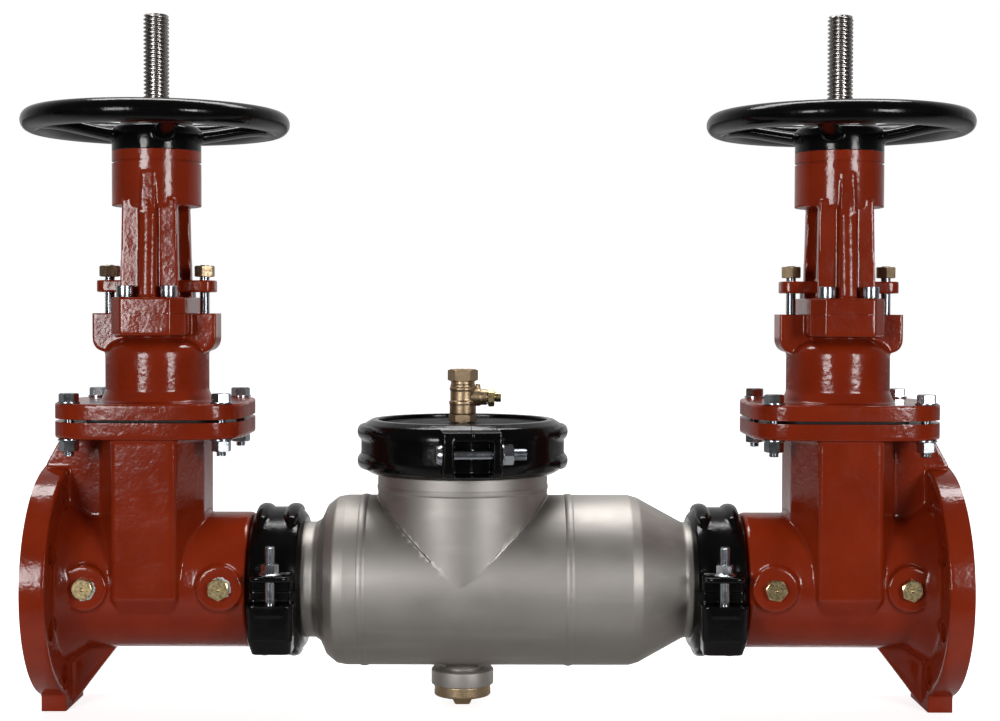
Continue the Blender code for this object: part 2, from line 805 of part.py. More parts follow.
def centre_pieces():
    middle = mount_point("pipe_centre", (0, 0, PIPE_Z))
    placed(finished(check_valve_body(), "check_valve_body", "stainless"), middle)
    tee = mount_point("tee_axis", (TEE_X, 0, PIPE_Z))
    pieces = (
        ("top_cover", top_cover, "black_enamel"),
        ("drain_nut", drain_nut, "stainless"),
        ("drain_plug", drain_plug, "bronze"),
        ("test_cock_body", cock_body, "bronze"),
        ("test_cock_nut", cock_nut, "bronze"),
    )
    for name, make, color in pieces:
        placed(finished(make(), name, color), tee)
    spindle_axis = mount_point("spindle_axis", (TEE_X, 0, PIPE_Z + 0.1820))
    for name, make, color in (
        ("test_cock_ball", cock_ball, "steel"),
        ("test_cock_spindle", cock_spindle, "bronze"),
    ):
        piece = finished(make(), name, color)
        piece.data.transform(Matrix.Translation((0, 0, -0.1820)))
        placed(piece, spindle_axis)


# Check modules, made with the seat's upstream face at x = 0

SEAT_THICK = 0.010
MODULE_RADIUS = 0.0785
MODULE_LENGTH = 0.078
MODULE_X = (-0.1470, 0.0500)
POPPET_BACK = 0.0200
HUB_FACE = 0.0680
SPRING_RADIUS = 0.0165
SPRING_WIRE = 0.0016
SPRING_TURNS = 5


def check_seat():
    return ring("seat", 0.0450, MODULE_RADIUS, 0, SEAT_THICK, along_x=True)


def check_cage():
    """A base ring, three legs and the hub that guides the poppet's stem."""
    base_low, base_high = SEAT_THICK + GAP, SEAT_THICK + 0.006
    made = ring("cage", 0.0610, MODULE_RADIUS, base_low, base_high, along_x=True)
    others = [disc("hub", 0.0125, HUB_FACE, MODULE_LENGTH, SMALL_ROUND, along_x=True)]
    for index in range(3):
        turn = Matrix.Rotation(math.pi / 6 + index * 2 * math.pi / 3, 4, "X")
        leg = block("leg", (base_high - 0.002, -0.006, 0.0640), (MODULE_LENGTH, 0.006, 0.0700))
        arm = block("arm", (HUB_FACE + 0.002, -0.0045, 0.008), (MODULE_LENGTH, 0.0045, 0.0670))
        for piece in (leg, arm):
            piece.data.transform(turn)
            others.append(piece)
    made = fused(made, *others)
    return carved(made, rod("guide", 0.0065, (0.06, 0, 0), (0.09, 0, 0), SMALL_ROUND))


def check_seal():
    return ring("seal", 0.0300, 0.0520, SEAT_THICK + GAP, SEAT_THICK + 0.0033, along_x=True)


def check_poppet():
    front = SEAT_THICK + 0.0036
    profile = [
        (0, 0.0860),
        (0.0050, 0.0860),
        (0.0060, 0.0850),
        (0.0060, POPPET_BACK + 0.004),
        (0.0120, POPPET_BACK),
        (0.0540, POPPET_BACK - 0.0010),
        (0.0540, front),
        (0.0296, front),
        (0.0296, SEAT_THICK - 0.003),
        (0, SEAT_THICK - 0.006),
    ]
    return turned("poppet", profile, ROUND, along_x=True)


def check_spring():
    """A coil between the poppet and the hub, drawn at its installed length."""
    curve = bpy.data.curves.new("spring", "CURVE")
    curve.dimensions = "3D"
    curve.bevel_depth = SPRING_WIRE
    curve.bevel_resolution = 0
    curve.use_fill_caps = True
    per_turn = 9
    count = SPRING_TURNS * per_turn + 1
    low = POPPET_BACK + SPRING_WIRE + 0.0008
    high = HUB_FACE - SPRING_WIRE - 0.0008
    spline = curve.splines.new("POLY")
    spline.points.add(count - 1)
    for index, point in enumerate(spline.points):
        angle = 2 * math.pi * index / per_turn
        share = index / (count - 1)
        y, z = SPRING_RADIUS * math.cos(angle), SPRING_RADIUS * math.sin(angle)
        point.co = (low + (high - low) * share, y, z, 1.0)
    return baked(shown(bpy.data.objects.new("spring", curve)))


def check_modules():
    first = mount_point("first_check", (MODULE_X[0], 0, PIPE_Z))
    second = mount_point("second_check", (MODULE_X[1], 0, PIPE_Z))
    pieces = (
        ("seat", check_seat, "acetal"),
        ("cage", check_cage, "acetal"),
        ("seal", check_seal, "rubber"),
        ("poppet", check_poppet, "acetal"),
        ("spring", check_spring, "steel"),
    )
    for name, make, color in pieces:
        made = finished(make(), "first_check_" + name, color)
        placed(made, first)
        copied(made, "second_check_" + name, second)


# Grooved couplings, made with the pipe along X and the bolts along Z

KEY_LOW = 0.0178
COUPLING_HALF = 0.0257
RIB_OUT = 0.0200
RIB_IN = 0.0075


class Coupling:
    """Sizes of one coupling. A lug is (start, end, half width), measured along the bolt."""

    def __init__(self, pipe, groove, outer):
        self.outer = outer
        self.key = around(groove, ROUND)
        self.seat = around(pipe, ROUND)
        self.room = pipe + 0.0115


SMALL = Coupling(SMALL_PIPE, SMALL_GROOVE, 0.0760)
SMALL.bolt_y = 0.0840
SMALL.bolt_radius = 0.0047
SMALL.bolt_top = 0.0440
SMALL.upper_lug = (0.0120, 0.0180, 0.0180)
SMALL.lower_lug = (0.0170, 0.0560, 0.0210)

LARGE = Coupling(LARGE_PIPE, LARGE_GROOVE, 0.1045)
LARGE.bolt_y = 0.1110
LARGE.bolt_radius = 0.0058
LARGE.bolt_top = 0.0500
LARGE.upper_lug = (0.0170, 0.0270, 0.0230)
LARGE.lower_lug = (0.0170, 0.0270, 0.0230)


def coupling_ring(size):
    """The whole channel section before it is cut in two."""
    outer, key, room = size.outer, size.key, size.room
    edge = outer - 0.0100
    valley = outer - 0.0045
    half = [
        (edge, COUPLING_HALF),
        (outer, RIB_OUT),
        (outer, RIB_IN),
        (valley, RIB_IN - 0.003),
    ]
    inner = [(key, COUPLING_HALF), (key, KEY_LOW), (room, KEY_LOW)]
    profile = half + [(r, -x) for r, x in reversed(half)]
    profile += [(r, -x) for r, x in inner] + list(reversed(inner))
    return turned("coupling", profile, ROUND, ring=True, along_x=True)


def coupling_half(size, side):
    """Upper half for side 1, lower half for side -1."""
    made = coupling_ring(size)
    reach = 2 * size.outer
    start, end, wide = size.upper_lug if side > 0 else size.lower_lug
    lugs = []
    for face in (-1, 1):
        y_range = sorted((face * (size.room + 0.003), face * (size.bolt_y + 0.0115)))
        z_range = sorted((side * start, side * end))
        lugs.append(block("lug", (-wide, y_range[0], z_range[0]), (wide, y_range[1], z_range[1])))
        web_z = sorted((side * GAP, side * (start + 0.001)))
        web_y = sorted((face * (size.room + 0.003), face * (size.bolt_y - size.bolt_radius - 0.0012)))
        lugs.append(block("web", (-wide, web_y[0], web_z[0]), (wide, web_y[1], web_z[1])))
    made = fused(made, *lugs)
    waste = sorted((side * GAP, -side * reach))
    cutters = [block("half", (-reach, -reach, waste[0]), (reach, reach, waste[1]))]
    for face in (-1, 1):
        y = face * size.bolt_y
        cutters.append(rod("hole", size.bolt_radius + 0.0006, (0, y, -reach), (0, y, reach)))
        if side < 0:
            head = bolt_head(size)
            cutters.append(rod("pocket", head[1], (0, y, head[0] + GAP), (0, y, -reach), SMALL_ROUND))
    return carved(made, *cutters)


def bolt_head(size):
    """(height of its inner face, radius of the room cut for it)."""
    start, end, _ = size.lower_lug
    return (-min(end, start + 0.0110), size.bolt_radius + 0.0062)


def coupling_bolt(size, face):
    """A track bolt with its flanged nut screwed on."""
    y = face * size.bolt_y
    seat = bolt_head(size)[0]
    lug_top = size.upper_lug[1] + GAP
    flats = size.bolt_radius * 3.1
    return fused(
        rod("shank", size.bolt_radius, (0, y, seat - 0.002), (0, y, size.bolt_top)),
        rod("head", size.bolt_radius + 0.0045, (0, y, seat - 0.0075), (0, y, seat), SMALL_ROUND),
        rod("washer", size.bolt_radius + 0.0060, (0, y, lug_top), (0, y, lug_top + 0.0025), SMALL_ROUND),
        hexagon("nut", flats, (0, y, lug_top + 0.0015), (0, y, lug_top + 0.0105)),
    )


def coupling_gasket(size):
    profile = [
        (size.seat, 0.0145),
        (size.room - 0.0005, 0.0145),
        (size.room - 0.0005, -0.0145),
        (size.seat, -0.0145),
    ]
    return turned("gasket", profile, ROUND, ring=True, along_x=True)


def coupling_pieces(size):
    return (
        ("half_a", coupling_half(size, 1), "black_enamel"),
        ("half_b", coupling_half(size, -1), "black_enamel"),
        ("gasket", coupling_gasket(size), "rubber"),
        ("bolt_front", coupling_bolt(size, -1), "zinc"),
        ("bolt_rear", coupling_bolt(size, 1), "zinc"),
    )


def couplings():
    inlet = mount_point("inlet_coupling", (-COUPLING_X, 0, PIPE_Z))
    outlet = mount_point("outlet_coupling", (COUPLING_X, 0, PIPE_Z))
    swap = Matrix.Rotation(math.pi, 3, Vector((1, 0, 1)))
    turn = Matrix.Rotation(TOP_COUPLING_TURN, 3, "Z") @ swap
    cover = mount_point("cover_coupling", (TEE_X, 0, PIPE_Z + COVER_JOINT_Z), turn=turn)
    for name, obj, color in coupling_pieces(SMALL):
        first = finished(obj, "inlet_coupling_" + name, color)
        placed(first, inlet)
        copied(first, "outlet_coupling_" + name, outlet)
    for name, obj, color in coupling_pieces(LARGE):
        placed(finished(obj, "cover_coupling_" + name, color), cover)


def main():
    global PARTS
    clear_scene()
    PARTS = bpy.data.collections.new("backflow_preventer")
    bpy.context.scene.collection.children.link(PARTS)
    make_paints()
    gate_valves()
    centre_pieces()
    check_modules()
    couplings()


main()
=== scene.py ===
"""Looks of a double-check backflow preventer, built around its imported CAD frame.

Everything is in metres. Shapes are made in a local frame: for a valve, x runs from its stem
towards the stainless body and z is measured from the pipe's centre line. The outlet valve is the
inlet one turned half round.
"""

import json
import math
import random

import bmesh
import bpy
from mathutils import Matrix, Vector

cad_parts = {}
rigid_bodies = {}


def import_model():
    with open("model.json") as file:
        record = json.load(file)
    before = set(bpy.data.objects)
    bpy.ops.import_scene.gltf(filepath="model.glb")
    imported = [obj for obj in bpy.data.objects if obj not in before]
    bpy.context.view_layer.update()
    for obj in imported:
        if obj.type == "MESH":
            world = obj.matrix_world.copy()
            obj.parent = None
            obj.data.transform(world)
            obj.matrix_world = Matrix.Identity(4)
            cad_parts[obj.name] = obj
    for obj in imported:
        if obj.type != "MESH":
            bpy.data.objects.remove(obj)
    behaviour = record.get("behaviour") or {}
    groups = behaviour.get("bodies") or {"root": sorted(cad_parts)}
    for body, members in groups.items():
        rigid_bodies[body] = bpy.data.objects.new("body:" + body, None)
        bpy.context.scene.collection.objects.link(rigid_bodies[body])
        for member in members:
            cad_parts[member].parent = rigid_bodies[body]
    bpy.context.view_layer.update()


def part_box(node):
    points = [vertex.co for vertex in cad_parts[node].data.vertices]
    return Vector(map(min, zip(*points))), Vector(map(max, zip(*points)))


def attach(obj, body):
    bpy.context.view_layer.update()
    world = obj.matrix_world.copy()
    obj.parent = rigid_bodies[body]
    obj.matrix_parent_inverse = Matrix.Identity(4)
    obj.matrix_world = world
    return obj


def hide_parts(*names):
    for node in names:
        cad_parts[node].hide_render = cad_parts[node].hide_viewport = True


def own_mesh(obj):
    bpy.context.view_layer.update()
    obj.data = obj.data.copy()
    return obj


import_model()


def middle(node):
    low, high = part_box(node)
    return (low + high) / 2


PIPE_Z = middle("inlet_coupling_gasket").z
INLET_X = middle("inlet_stem").x
OUTLET_X = middle("outlet_stem").x
TEE_X = middle("top_cover").x
COUPLING_X = middle("outlet_coupling_gasket").x
BODY_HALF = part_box("check_valve_body")[1].x
COVER_JOINT_Z = middle("cover_coupling_gasket").z - PIPE_Z
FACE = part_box("inlet_valve_body")[0].x - INLET_X
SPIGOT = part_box("inlet_valve_body")[1].x - INLET_X
CHECK_X = (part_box("first_check_seat")[0].x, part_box("second_check_seat")[0].x)

SMALL_PIPE, SMALL_GROOVE, SMALL_BORE = 0.05715, 0.05504, 0.051
LARGE_PIPE, LARGE_GROOVE = 0.08415, 0.082
LIP = 0.0159  # from a pipe's end to its groove
WALL = 0.0032
STEM_RADIUS = 0.0125
LIFT = 0.108
WHEEL_TURN = math.radians(20)

workshop = bpy.data.collections.new("workshop")
preventer = bpy.data.collections.new("preventer")
for collection in (workshop, preventer):
    bpy.context.scene.collection.children.link(collection)


# Shapes


def shift(x=0.0, y=0.0, z=0.0):
    return Matrix.Translation((x, y, z))


def spin(angle, axis="Z"):
    return Matrix.Rotation(angle, 4, axis)


def turns(steps):
    """Angles in equal steps once round."""
    return [2 * math.pi * step / steps for step in range(steps)]


def around(radius, angle, *height):
    """A point on a circle about Z."""
    return (radius * math.cos(angle), radius * math.sin(angle), *height)


def shape(mesh):
    obj = bpy.data.objects.new("shape", mesh)
    workshop.objects.link(obj)
    return obj


def poured(bm):
    """An object with the contents of a bmesh."""
    mesh = bpy.data.meshes.new("shape")
    bm.to_mesh(mesh)
    bm.free()
    return shape(mesh)


def solid(bm):
    """An object made from closed faces, all turned outwards."""
    bmesh.ops.recalc_face_normals(bm, faces=bm.faces)
    return poured(bm)


def bent(obj, matrix):
    obj.data.transform(matrix)
    return obj


def lay_along_x(obj):
    return bent(obj, spin(math.pi / 2, "Y"))


def moved(obj, x=0.0, y=0.0, z=0.0):
    return bent(obj, shift(x, y, z))


def eased(points, closed=False, steps=4):
    """(a, b, r) points as (a, b) points, with each corner rounded by its radius r, if it has one."""
    made = []
    count = len(points)
    for index, point in enumerate(points):
        here = Vector(point[:2])
        radius = point[2] if len(point) > 2 else 0
        inside = closed or 0 < index < count - 1
        if not radius or not inside:
            made.append(here)
            continue
        back = Vector(points[index - 1][:2]) - here
        ahead = Vector(points[(index + 1) % count][:2]) - here
        bend = max(back.angle(ahead), 0.05)
        reach = min(radius / math.tan(bend / 2), 0.49 * back.length, 0.49 * ahead.length)
        start = here + back.normalized() * reach
        end = here + ahead.normalized() * reach
        for step in range(steps + 1):
            t = step / steps
            made.append(start * (1 - t) ** 2 + here * 2 * t * (1 - t) + end * t**2)
    return [tuple(point) for point in made]


def loft(rings, loop=False):
    """Skin over rings of points that all have the same number of points."""
    bm = bmesh.new()
    rows = [[bm.verts.new(point) for point in ring] for ring in rings]
    pairs = list(zip(rows, rows[1:]))
    if loop:
        pairs.append((rows[-1], rows[0]))
    for low, high in pairs:
        for side in range(len(low)):
            bm.faces.new((low[side - 1], low[side], high[side], high[side - 1]))
    if not loop:
        bm.faces.new(rows[0])
        bm.faces.new(rows[-1])
    bmesh.ops.remove_doubles(bm, verts=bm.verts, dist=1e-7)
    return solid(bm)


def turned(profile, steps=96, ring=False, along_x=False):
    """A profile of (radius, height, rounding) turned about its axis. A ring's profile is closed."""
    outline = eased(profile, closed=ring)
    bm = bmesh.new()
    rows = [[bm.verts.new(around(r, angle, z)) for r, z in outline] for angle in turns(steps)]
    last = len(outline) if ring else len(outline) - 1
    for step in range(steps):
        this, near = rows[step], rows[step - 1]
        for index in range(last):
            after = (index + 1) % len(outline)
            bm.faces.new((near[index], this[index], this[after], near[after]))
    bmesh.ops.remove_doubles(bm, verts=bm.verts, dist=1e-7)
    obj = solid(bm)
    return lay_along_x(obj) if along_x else obj


def divided_turn(profile, along_x=False):
    """A turned profile with rounded corners in fine steps and points along its long straight runs."""
    outline = eased(profile, steps=9)
    made = [outline[0]]
    for here, after in zip(outline, outline[1:]):
        parts = max(1, round(math.dist(here, after) / 0.006)) if min(here[0], after[0]) > 0 else 1
        for index in range(1, parts + 1):
            share = index / parts
            made.append(tuple(a + (b - a) * share for a, b in zip(here, after)))
    return turned(made, 144, along_x=along_x)


def disc(radius, low, high, steps=96, ease=0.0, along_x=False):
    profile = [(0, high), (radius, high, ease), (radius, low, ease), (0, low)]
    return turned(profile, steps, along_x=along_x)


def tube(inner, outer, low, high, steps=96, ease=0.0, along_x=False):
    profile = [(inner, high, ease), (outer, high, ease), (outer, low, ease), (inner, low, ease)]
    return turned(profile, steps, ring=True, along_x=along_x)


def rod(radius, start, end, steps=48, end_radius=None):
    """A round bar or cone between two points."""
    start, along = Vector(start), Vector(end) - Vector(start)
    far = radius if end_radius is None else end_radius
    obj = turned([(0, along.length), (far, along.length), (radius, 0), (0, 0)], steps)
    lean = Vector((0, 0, 1)).rotation_difference(along).to_matrix().to_4x4()
    return bent(obj, Matrix.Translation(start) @ lean)


def ball(radius):
    bm = bmesh.new()
    bmesh.ops.create_uvsphere(bm, u_segments=48, v_segments=24, radius=radius)
    return solid(bm)


def block(low, high, ease=0.0):
    bm = bmesh.new()
    bmesh.ops.create_cube(bm, size=1.0)
    low, high = Vector(low), Vector(high)
    size = Matrix.Diagonal((*(high - low), 1.0))
    bmesh.ops.transform(bm, matrix=Matrix.Translation((low + high) / 2) @ size, verts=bm.verts)
    if ease:
        bmesh.ops.bevel(bm, geom=bm.edges, offset=ease, segments=3, profile=0.5, affect="EDGES")
    return solid(bm)


def plate(outline, low, high, ease=0.0, upright=False):
    """A flat outline given thickness along Z or, when upright, an X-Z outline given it along Y."""
    bm = bmesh.new()
    face = bm.faces.new([bm.verts.new((a, b, low)) for a, b in outline])
    lifted = bmesh.ops.extrude_face_region(bm, geom=[face])
    top = [v for v in lifted["geom"] if isinstance(v, bmesh.types.BMVert)]
    bmesh.ops.translate(bm, vec=(0, 0, high - low), verts=top)
    if ease:
        rims = [e for e in bm.edges if abs(e.verts[0].co.z - e.verts[1].co.z) < 1e-7]
        bmesh.ops.bevel(bm, geom=rims, offset=ease, segments=3, profile=0.5, affect="EDGES")
    obj = solid(bm)
    return bent(obj, spin(math.pi / 2, "X")) if upright else obj


def hull(points):
    bm = bmesh.new()
    for point in points:
        bm.verts.new(point)
    bmesh.ops.convex_hull(bm, input=bm.verts)
    return solid(bm)


def at(outline, height):
    return [(x, y, height) for x, y in outline]


def rounded_rectangle(half_x, half_y, radius):
    corners = [(half_x, half_y), (-half_x, half_y), (-half_x, -half_y), (half_x, -half_y)]
    return eased([(x, y, radius) for x, y in corners], closed=True, steps=12)


def superellipse(half_x, half_y, power, steps=120):
    """An outline between an ellipse and a rectangle: the higher the power, the squarer."""
    made = []
    for angle in turns(steps):
        x, y = around(1, angle)
        reach = (abs(x / half_x) ** power + abs(y / half_y) ** power) ** (-1 / power)
        made.append((reach * x, reach * y))
    return made


def cut_rectangle(half_x, half_y, cut_x, cut_y, ease=0.0):
    """A rectangle with its four corners cut off."""
    quarter = [(half_x, half_y - cut_y, ease), (half_x - cut_x, half_y, ease)]
    upper = quarter + [(-x, y, r) for x, y, r in reversed(quarter)]
    return eased(upper + [(-x, -y, r) for x, y, r in upper], closed=True)


def mirrored(half):
    """Half a profile and its reflection in height."""
    return half + [(r, -z, *ease) for r, z, *ease in reversed(half)]


def joined(*objs):
    """Several shapes as one mesh, with no change to any of them."""
    bm = bmesh.new()
    for obj in objs:
        bm.from_mesh(obj.data)
        bpy.data.objects.remove(obj, do_unlink=True)
    return poured(bm)


def baked(obj):
    """The object with its modifiers applied."""
    bpy.context.view_layer.update()
    graph = bpy.context.evaluated_depsgraph_get()
    mesh = bpy.data.meshes.new_from_object(obj.evaluated_get(graph))
    obj.modifiers.clear()
    obj.data = mesh
    return obj


def combined(target, others, operation, solver):
    for other in others:
        modifier = target.modifiers.new(operation, "BOOLEAN")
        modifier.operation = operation
        modifier.solver = solver
        modifier.object = other
    made = baked(target)
    for other in others:
        bpy.data.objects.remove(other, do_unlink=True)
    return made


def fused(target, *others, solver="EXACT"):
    return combined(target, others, "UNION", solver)


def carved(target, *others):
    return combined(target, others, "DIFFERENCE", "EXACT")


def machined(target, *cutters):
    """Crisp holes and faces cut into a casting."""
    return combined(target, cutters, "DIFFERENCE", "MANIFOLD")


def cast(*objs, voxel, softening=4):
    """Overlapping shapes melted into one casting with soft edges and filled corners."""
    made = joined(*objs)
    remesh = made.modifiers.new("Melt", "REMESH")
    remesh.mode = "VOXEL"
    remesh.voxel_size = voxel
    soften = made.modifiers.new("Soften", "SMOOTH")
    soften.factor = 0.5
    soften.iterations = softening
    return baked(made)


def hexagonal(flats, low, high, hole=0.0, chamfers=(True, True), steps=48):
    """A hexagon bar along Z with turned corners, and a round hole if it has one."""
    flat = flats / 2
    edge = flat * 0.96

    def ring(inset, height, slope):
        points = []
        for angle in turns(steps):
            reach = edge if inset else flat / math.cos((angle % (math.pi / 3)) - math.pi / 6)
            points.append(around(reach, angle, height - 0.5 * max(0.0, reach - edge) * slope))
        return points

    rings = []
    if chamfers[0]:
        rings.append(ring(True, low, 0))
    rings.append(ring(False, low, -1 if chamfers[0] else 0))
    rings.append(ring(False, high, 1 if chamfers[1] else 0))
    if chamfers[1]:
        rings.append(ring(True, high, 0))
    if hole:
        bore = [[around(hole, angle, height) for angle in turns(steps)] for height in (low, high)]
        return loft([bore[0], *rings, bore[1]], loop=True)
    return loft(rings)


def threaded(radius, low, high, pitch, depth, starts=1, hand=1, steps=24, chamfer=0.0012):
    """A screw thread as one closed bar along Z. hand is -1 for a left-handed thread."""
    tooth = ((0, radius), (0.24, radius), (0.56, radius - depth), (0.68, radius - depth))
    lead = pitch * starts
    bm = bmesh.new()
    rows = []
    for index in range(4 * (math.ceil((high - low) / pitch) + 2 * starts + 1)):
        share, reach = tooth[index % 4]
        base = low - lead - pitch + (index // 4 + share) * pitch
        row = []
        for step, angle in enumerate(turns(steps)):
            x, y = around(reach, angle)
            row.append(bm.verts.new((x, hand * y, base + lead * step / steps)))
        rows.append(row)
    ahead = 4 * starts
    for index in range(len(rows) - 1 - ahead):
        for step in range(steps):
            here, above, after = rows[index], rows[index + 1], step + 1
            far, far_above = here, above
            if after == steps:
                far, far_above, after = rows[index + ahead], rows[index + 1 + ahead], 0
            bm.faces.new((here[step], far[after], far_above[after], above[step]))
    for height, normal in ((low, -1), (high, 1)):
        everything = [*bm.verts, *bm.edges, *bm.faces]
        ends = {"plane_co": (0, 0, height), "plane_no": (0, 0, normal), "clear_outer": True}
        bmesh.ops.bisect_plane(bm, geom=everything, dist=1e-7, **ends)
    bmesh.ops.delete(bm, geom=[v for v in bm.verts if not v.link_faces], context="VERTS")
    bmesh.ops.remove_doubles(bm, verts=bm.verts, dist=1e-6)
    bmesh.ops.holes_fill(bm, edges=[e for e in bm.edges if e.is_boundary], sides=0)
    for vert in bm.verts:
        room = radius - chamfer + min(vert.co.z - low, high - vert.co.z)
        reach = math.hypot(vert.co.x, vert.co.y)
        if reach > room:
            vert.co.x *= room / reach
            vert.co.y *= room / reach
    return solid(bm)


def wire(points, radius, sides=10):
    """A round wire along a line of points, with flat ends."""
    points = [Vector(point) for point in points]
    rings = []
    side = None
    for index, point in enumerate(points):
        along = (points[min(index + 1, len(points) - 1)] - points[max(index - 1, 0)]).normalized()
        if side is None:
            side = along.orthogonal().normalized()
        side = (side - along * side.dot(along)).normalized()
        up = along.cross(side)
        spots = [around(radius, turn) for turn in turns(sides)]
        rings.append([point + side * a + up * b for a, b in spots])
    return loft(rings)


# Surfaces


def node(tree, kind, inputs=(), **settings):
    """A shader node, its inputs given as values or as the sockets that feed them."""
    made = tree.nodes.new(kind)
    for key, value in settings.items():
        setattr(made, key, value)
    for key, value in dict(inputs).items():
        if isinstance(value, bpy.types.NodeSocket):
            tree.links.new(value, made.inputs[key])
        else:
            made.inputs[key].default_value = value
    return made


class Surface:
    """A material under construction: a Principled shader and the nodes that feed it."""

    def __init__(self, name, **values):
        self.material = bpy.data.materials.new(name)
        self.material.use_nodes = True
        self.tree = self.material.node_tree
        self.shader = self.tree.nodes["Principled BSDF"]
        for key, value in values.items():
            self.shader.inputs[key.replace("_", " ")].default_value = value
        self.place = self.add("ShaderNodeTexCoord").outputs["Object"]
        self.relief = None

    def add(self, kind, inputs=(), **settings):
        return node(self.tree, kind, inputs, **settings)

    def feed(self, key, value):
        self.tree.links.new(value, self.shader.inputs[key])

    def noise(self, size, detail=3.0, roughness=0.5, stretch=None, distortion=0.0):
        """Noise between 0 and 1 whose features are about size metres across."""
        place = self.place
        if stretch:
            place = self.add("ShaderNodeMapping", {"Vector": place, "Scale": stretch}).outputs["Vector"]
        values = {"Vector": place, "Scale": 1 / size, "Detail": detail, "Roughness": roughness}
        values["Distortion"] = distortion
        return self.add("ShaderNodeTexNoise", values).outputs["Fac"]

    def spots(self, size):
        values = {"Vector": self.place, "Scale": 1 / size, "Randomness": 1.0}
        return self.add("ShaderNodeTexVoronoi", values).outputs["Distance"]

    def span(self, value, low, high, start, end):
        """A value mapped from low..high to start..end, and held there."""
        values = {"Value": value, "From Min": low, "From Max": high, "To Min": start, "To Max": end}
        return self.add("ShaderNodeMapRange", values).outputs["Result"]

    def mixed(self, share, *ends):
        first, second = [end if isinstance(end, bpy.types.NodeSocket) else (*end, 1.0) for end in ends]
        # inputs 6 and 7, and output 2, are the colour ones
        return self.add("ShaderNodeMix", {0: share, 6: first, 7: second}, data_type="RGBA").outputs[2]

    def color(self, share, first, second):
        self.feed("Base Color", self.mixed(share, first, second))

    def roughness(self, source, start, end, low=0.3, high=0.7):
        self.feed("Roughness", self.span(source, low, high, start, end))

    def bump(self, height, depth, strength):
        """Relief of depth metres. Each call adds to the last."""
        values = {"Height": height, "Distance": depth, "Strength": strength}
        if self.relief:
            values["Normal"] = self.relief
        self.relief = self.add("ShaderNodeBump", values).outputs["Normal"]
        self.feed("Normal", self.relief)


def red_epoxy():
    """Gloss epoxy fused on rough iron: deep red, with the casting's ripples showing through."""
    paint = Surface("red_epoxy", Specular_IOR_Level=0.4)
    share = paint.span(paint.noise(0.045), 0.3, 0.7, 0, 1)
    paint.color(share, (0.21, 0.0185, 0.0038), (0.262, 0.0245, 0.0052))
    paint.roughness(paint.noise(0.02, 2), 0.11, 0.2)
    paint.bump(paint.noise(0.012, 2), 0.0007, 0.5)
    paint.bump(paint.noise(0.0034, 2, roughness=0.4), 0.00022, 0.6)
    return paint.material


def stainless():
    """Bead-blasted stainless sheet: a fine matt grain with faint handling marks and rolled streaks."""
    metal = Surface("stainless", Metallic=1.0)
    cloud = metal.span(metal.noise(0.11, 4, roughness=0.6, distortion=0.4), 0.35, 0.65, 0, 1)
    streak = metal.span(metal.noise(0.02, stretch=(0.12, 1, 1)), 0.55, 0.75, 0, 0.6)
    marks = metal.span(metal.noise(0.013, 5, roughness=0.7, distortion=1.2), 0.7, 0.8, 0, 0.35)
    warm = metal.mixed(cloud, (0.45, 0.425, 0.395), (0.4, 0.375, 0.35))
    worn = metal.mixed(streak, warm, (0.52, 0.495, 0.465))
    metal.color(marks, worn, (0.25, 0.235, 0.225))
    metal.roughness(metal.noise(0.035, 4), 0.46, 0.58, 0.25, 0.75)
    metal.bump(metal.noise(0.0008, 2), 0.00004, 0.6)
    metal.bump(metal.noise(0.05, 2), 0.0009, 0.25)
    return metal.material


def bronze():
    """Cast bronze, sand-grained and dulled to brown."""
    metal = Surface("bronze", Metallic=1.0)
    tone = metal.mixed(metal.noise(0.008, 5, roughness=0.6), (0.34, 0.24, 0.145), (0.48, 0.365, 0.235))
    metal.color(metal.span(metal.noise(0.0025, 4), 0.55, 0.75, 0, 0.6), tone, (0.26, 0.16, 0.085))
    metal.roughness(metal.noise(0.003, 4), 0.3, 0.52)
    metal.bump(metal.noise(0.0014, 4, roughness=0.6), 0.00025, 0.6)
    return metal.material


def graphite():
    """Braided packing, its plaits showing as small lumps."""
    cord = Surface("graphite")
    cord.color(cord.spots(0.003), (0.1, 0.1, 0.105), (0.03, 0.03, 0.032))
    cord.roughness(cord.noise(0.002), 0.35, 0.6)
    cord.bump(cord.spots(0.003), 0.0006, 0.7)
    return cord.material


def plain(name, tone, first, second, shine, reliefs, **values):
    """Two colours mixed by one noise, a roughness that wanders between limits, and layers of relief."""
    made = Surface(name, **values)
    made.color(made.noise(*tone), first, second)
    size, detail, low, high = shine
    made.roughness(made.noise(size, detail), low, high)
    for size, detail, depth, strength in reliefs:
        made.bump(made.noise(size, detail), depth, strength)
    return made.material


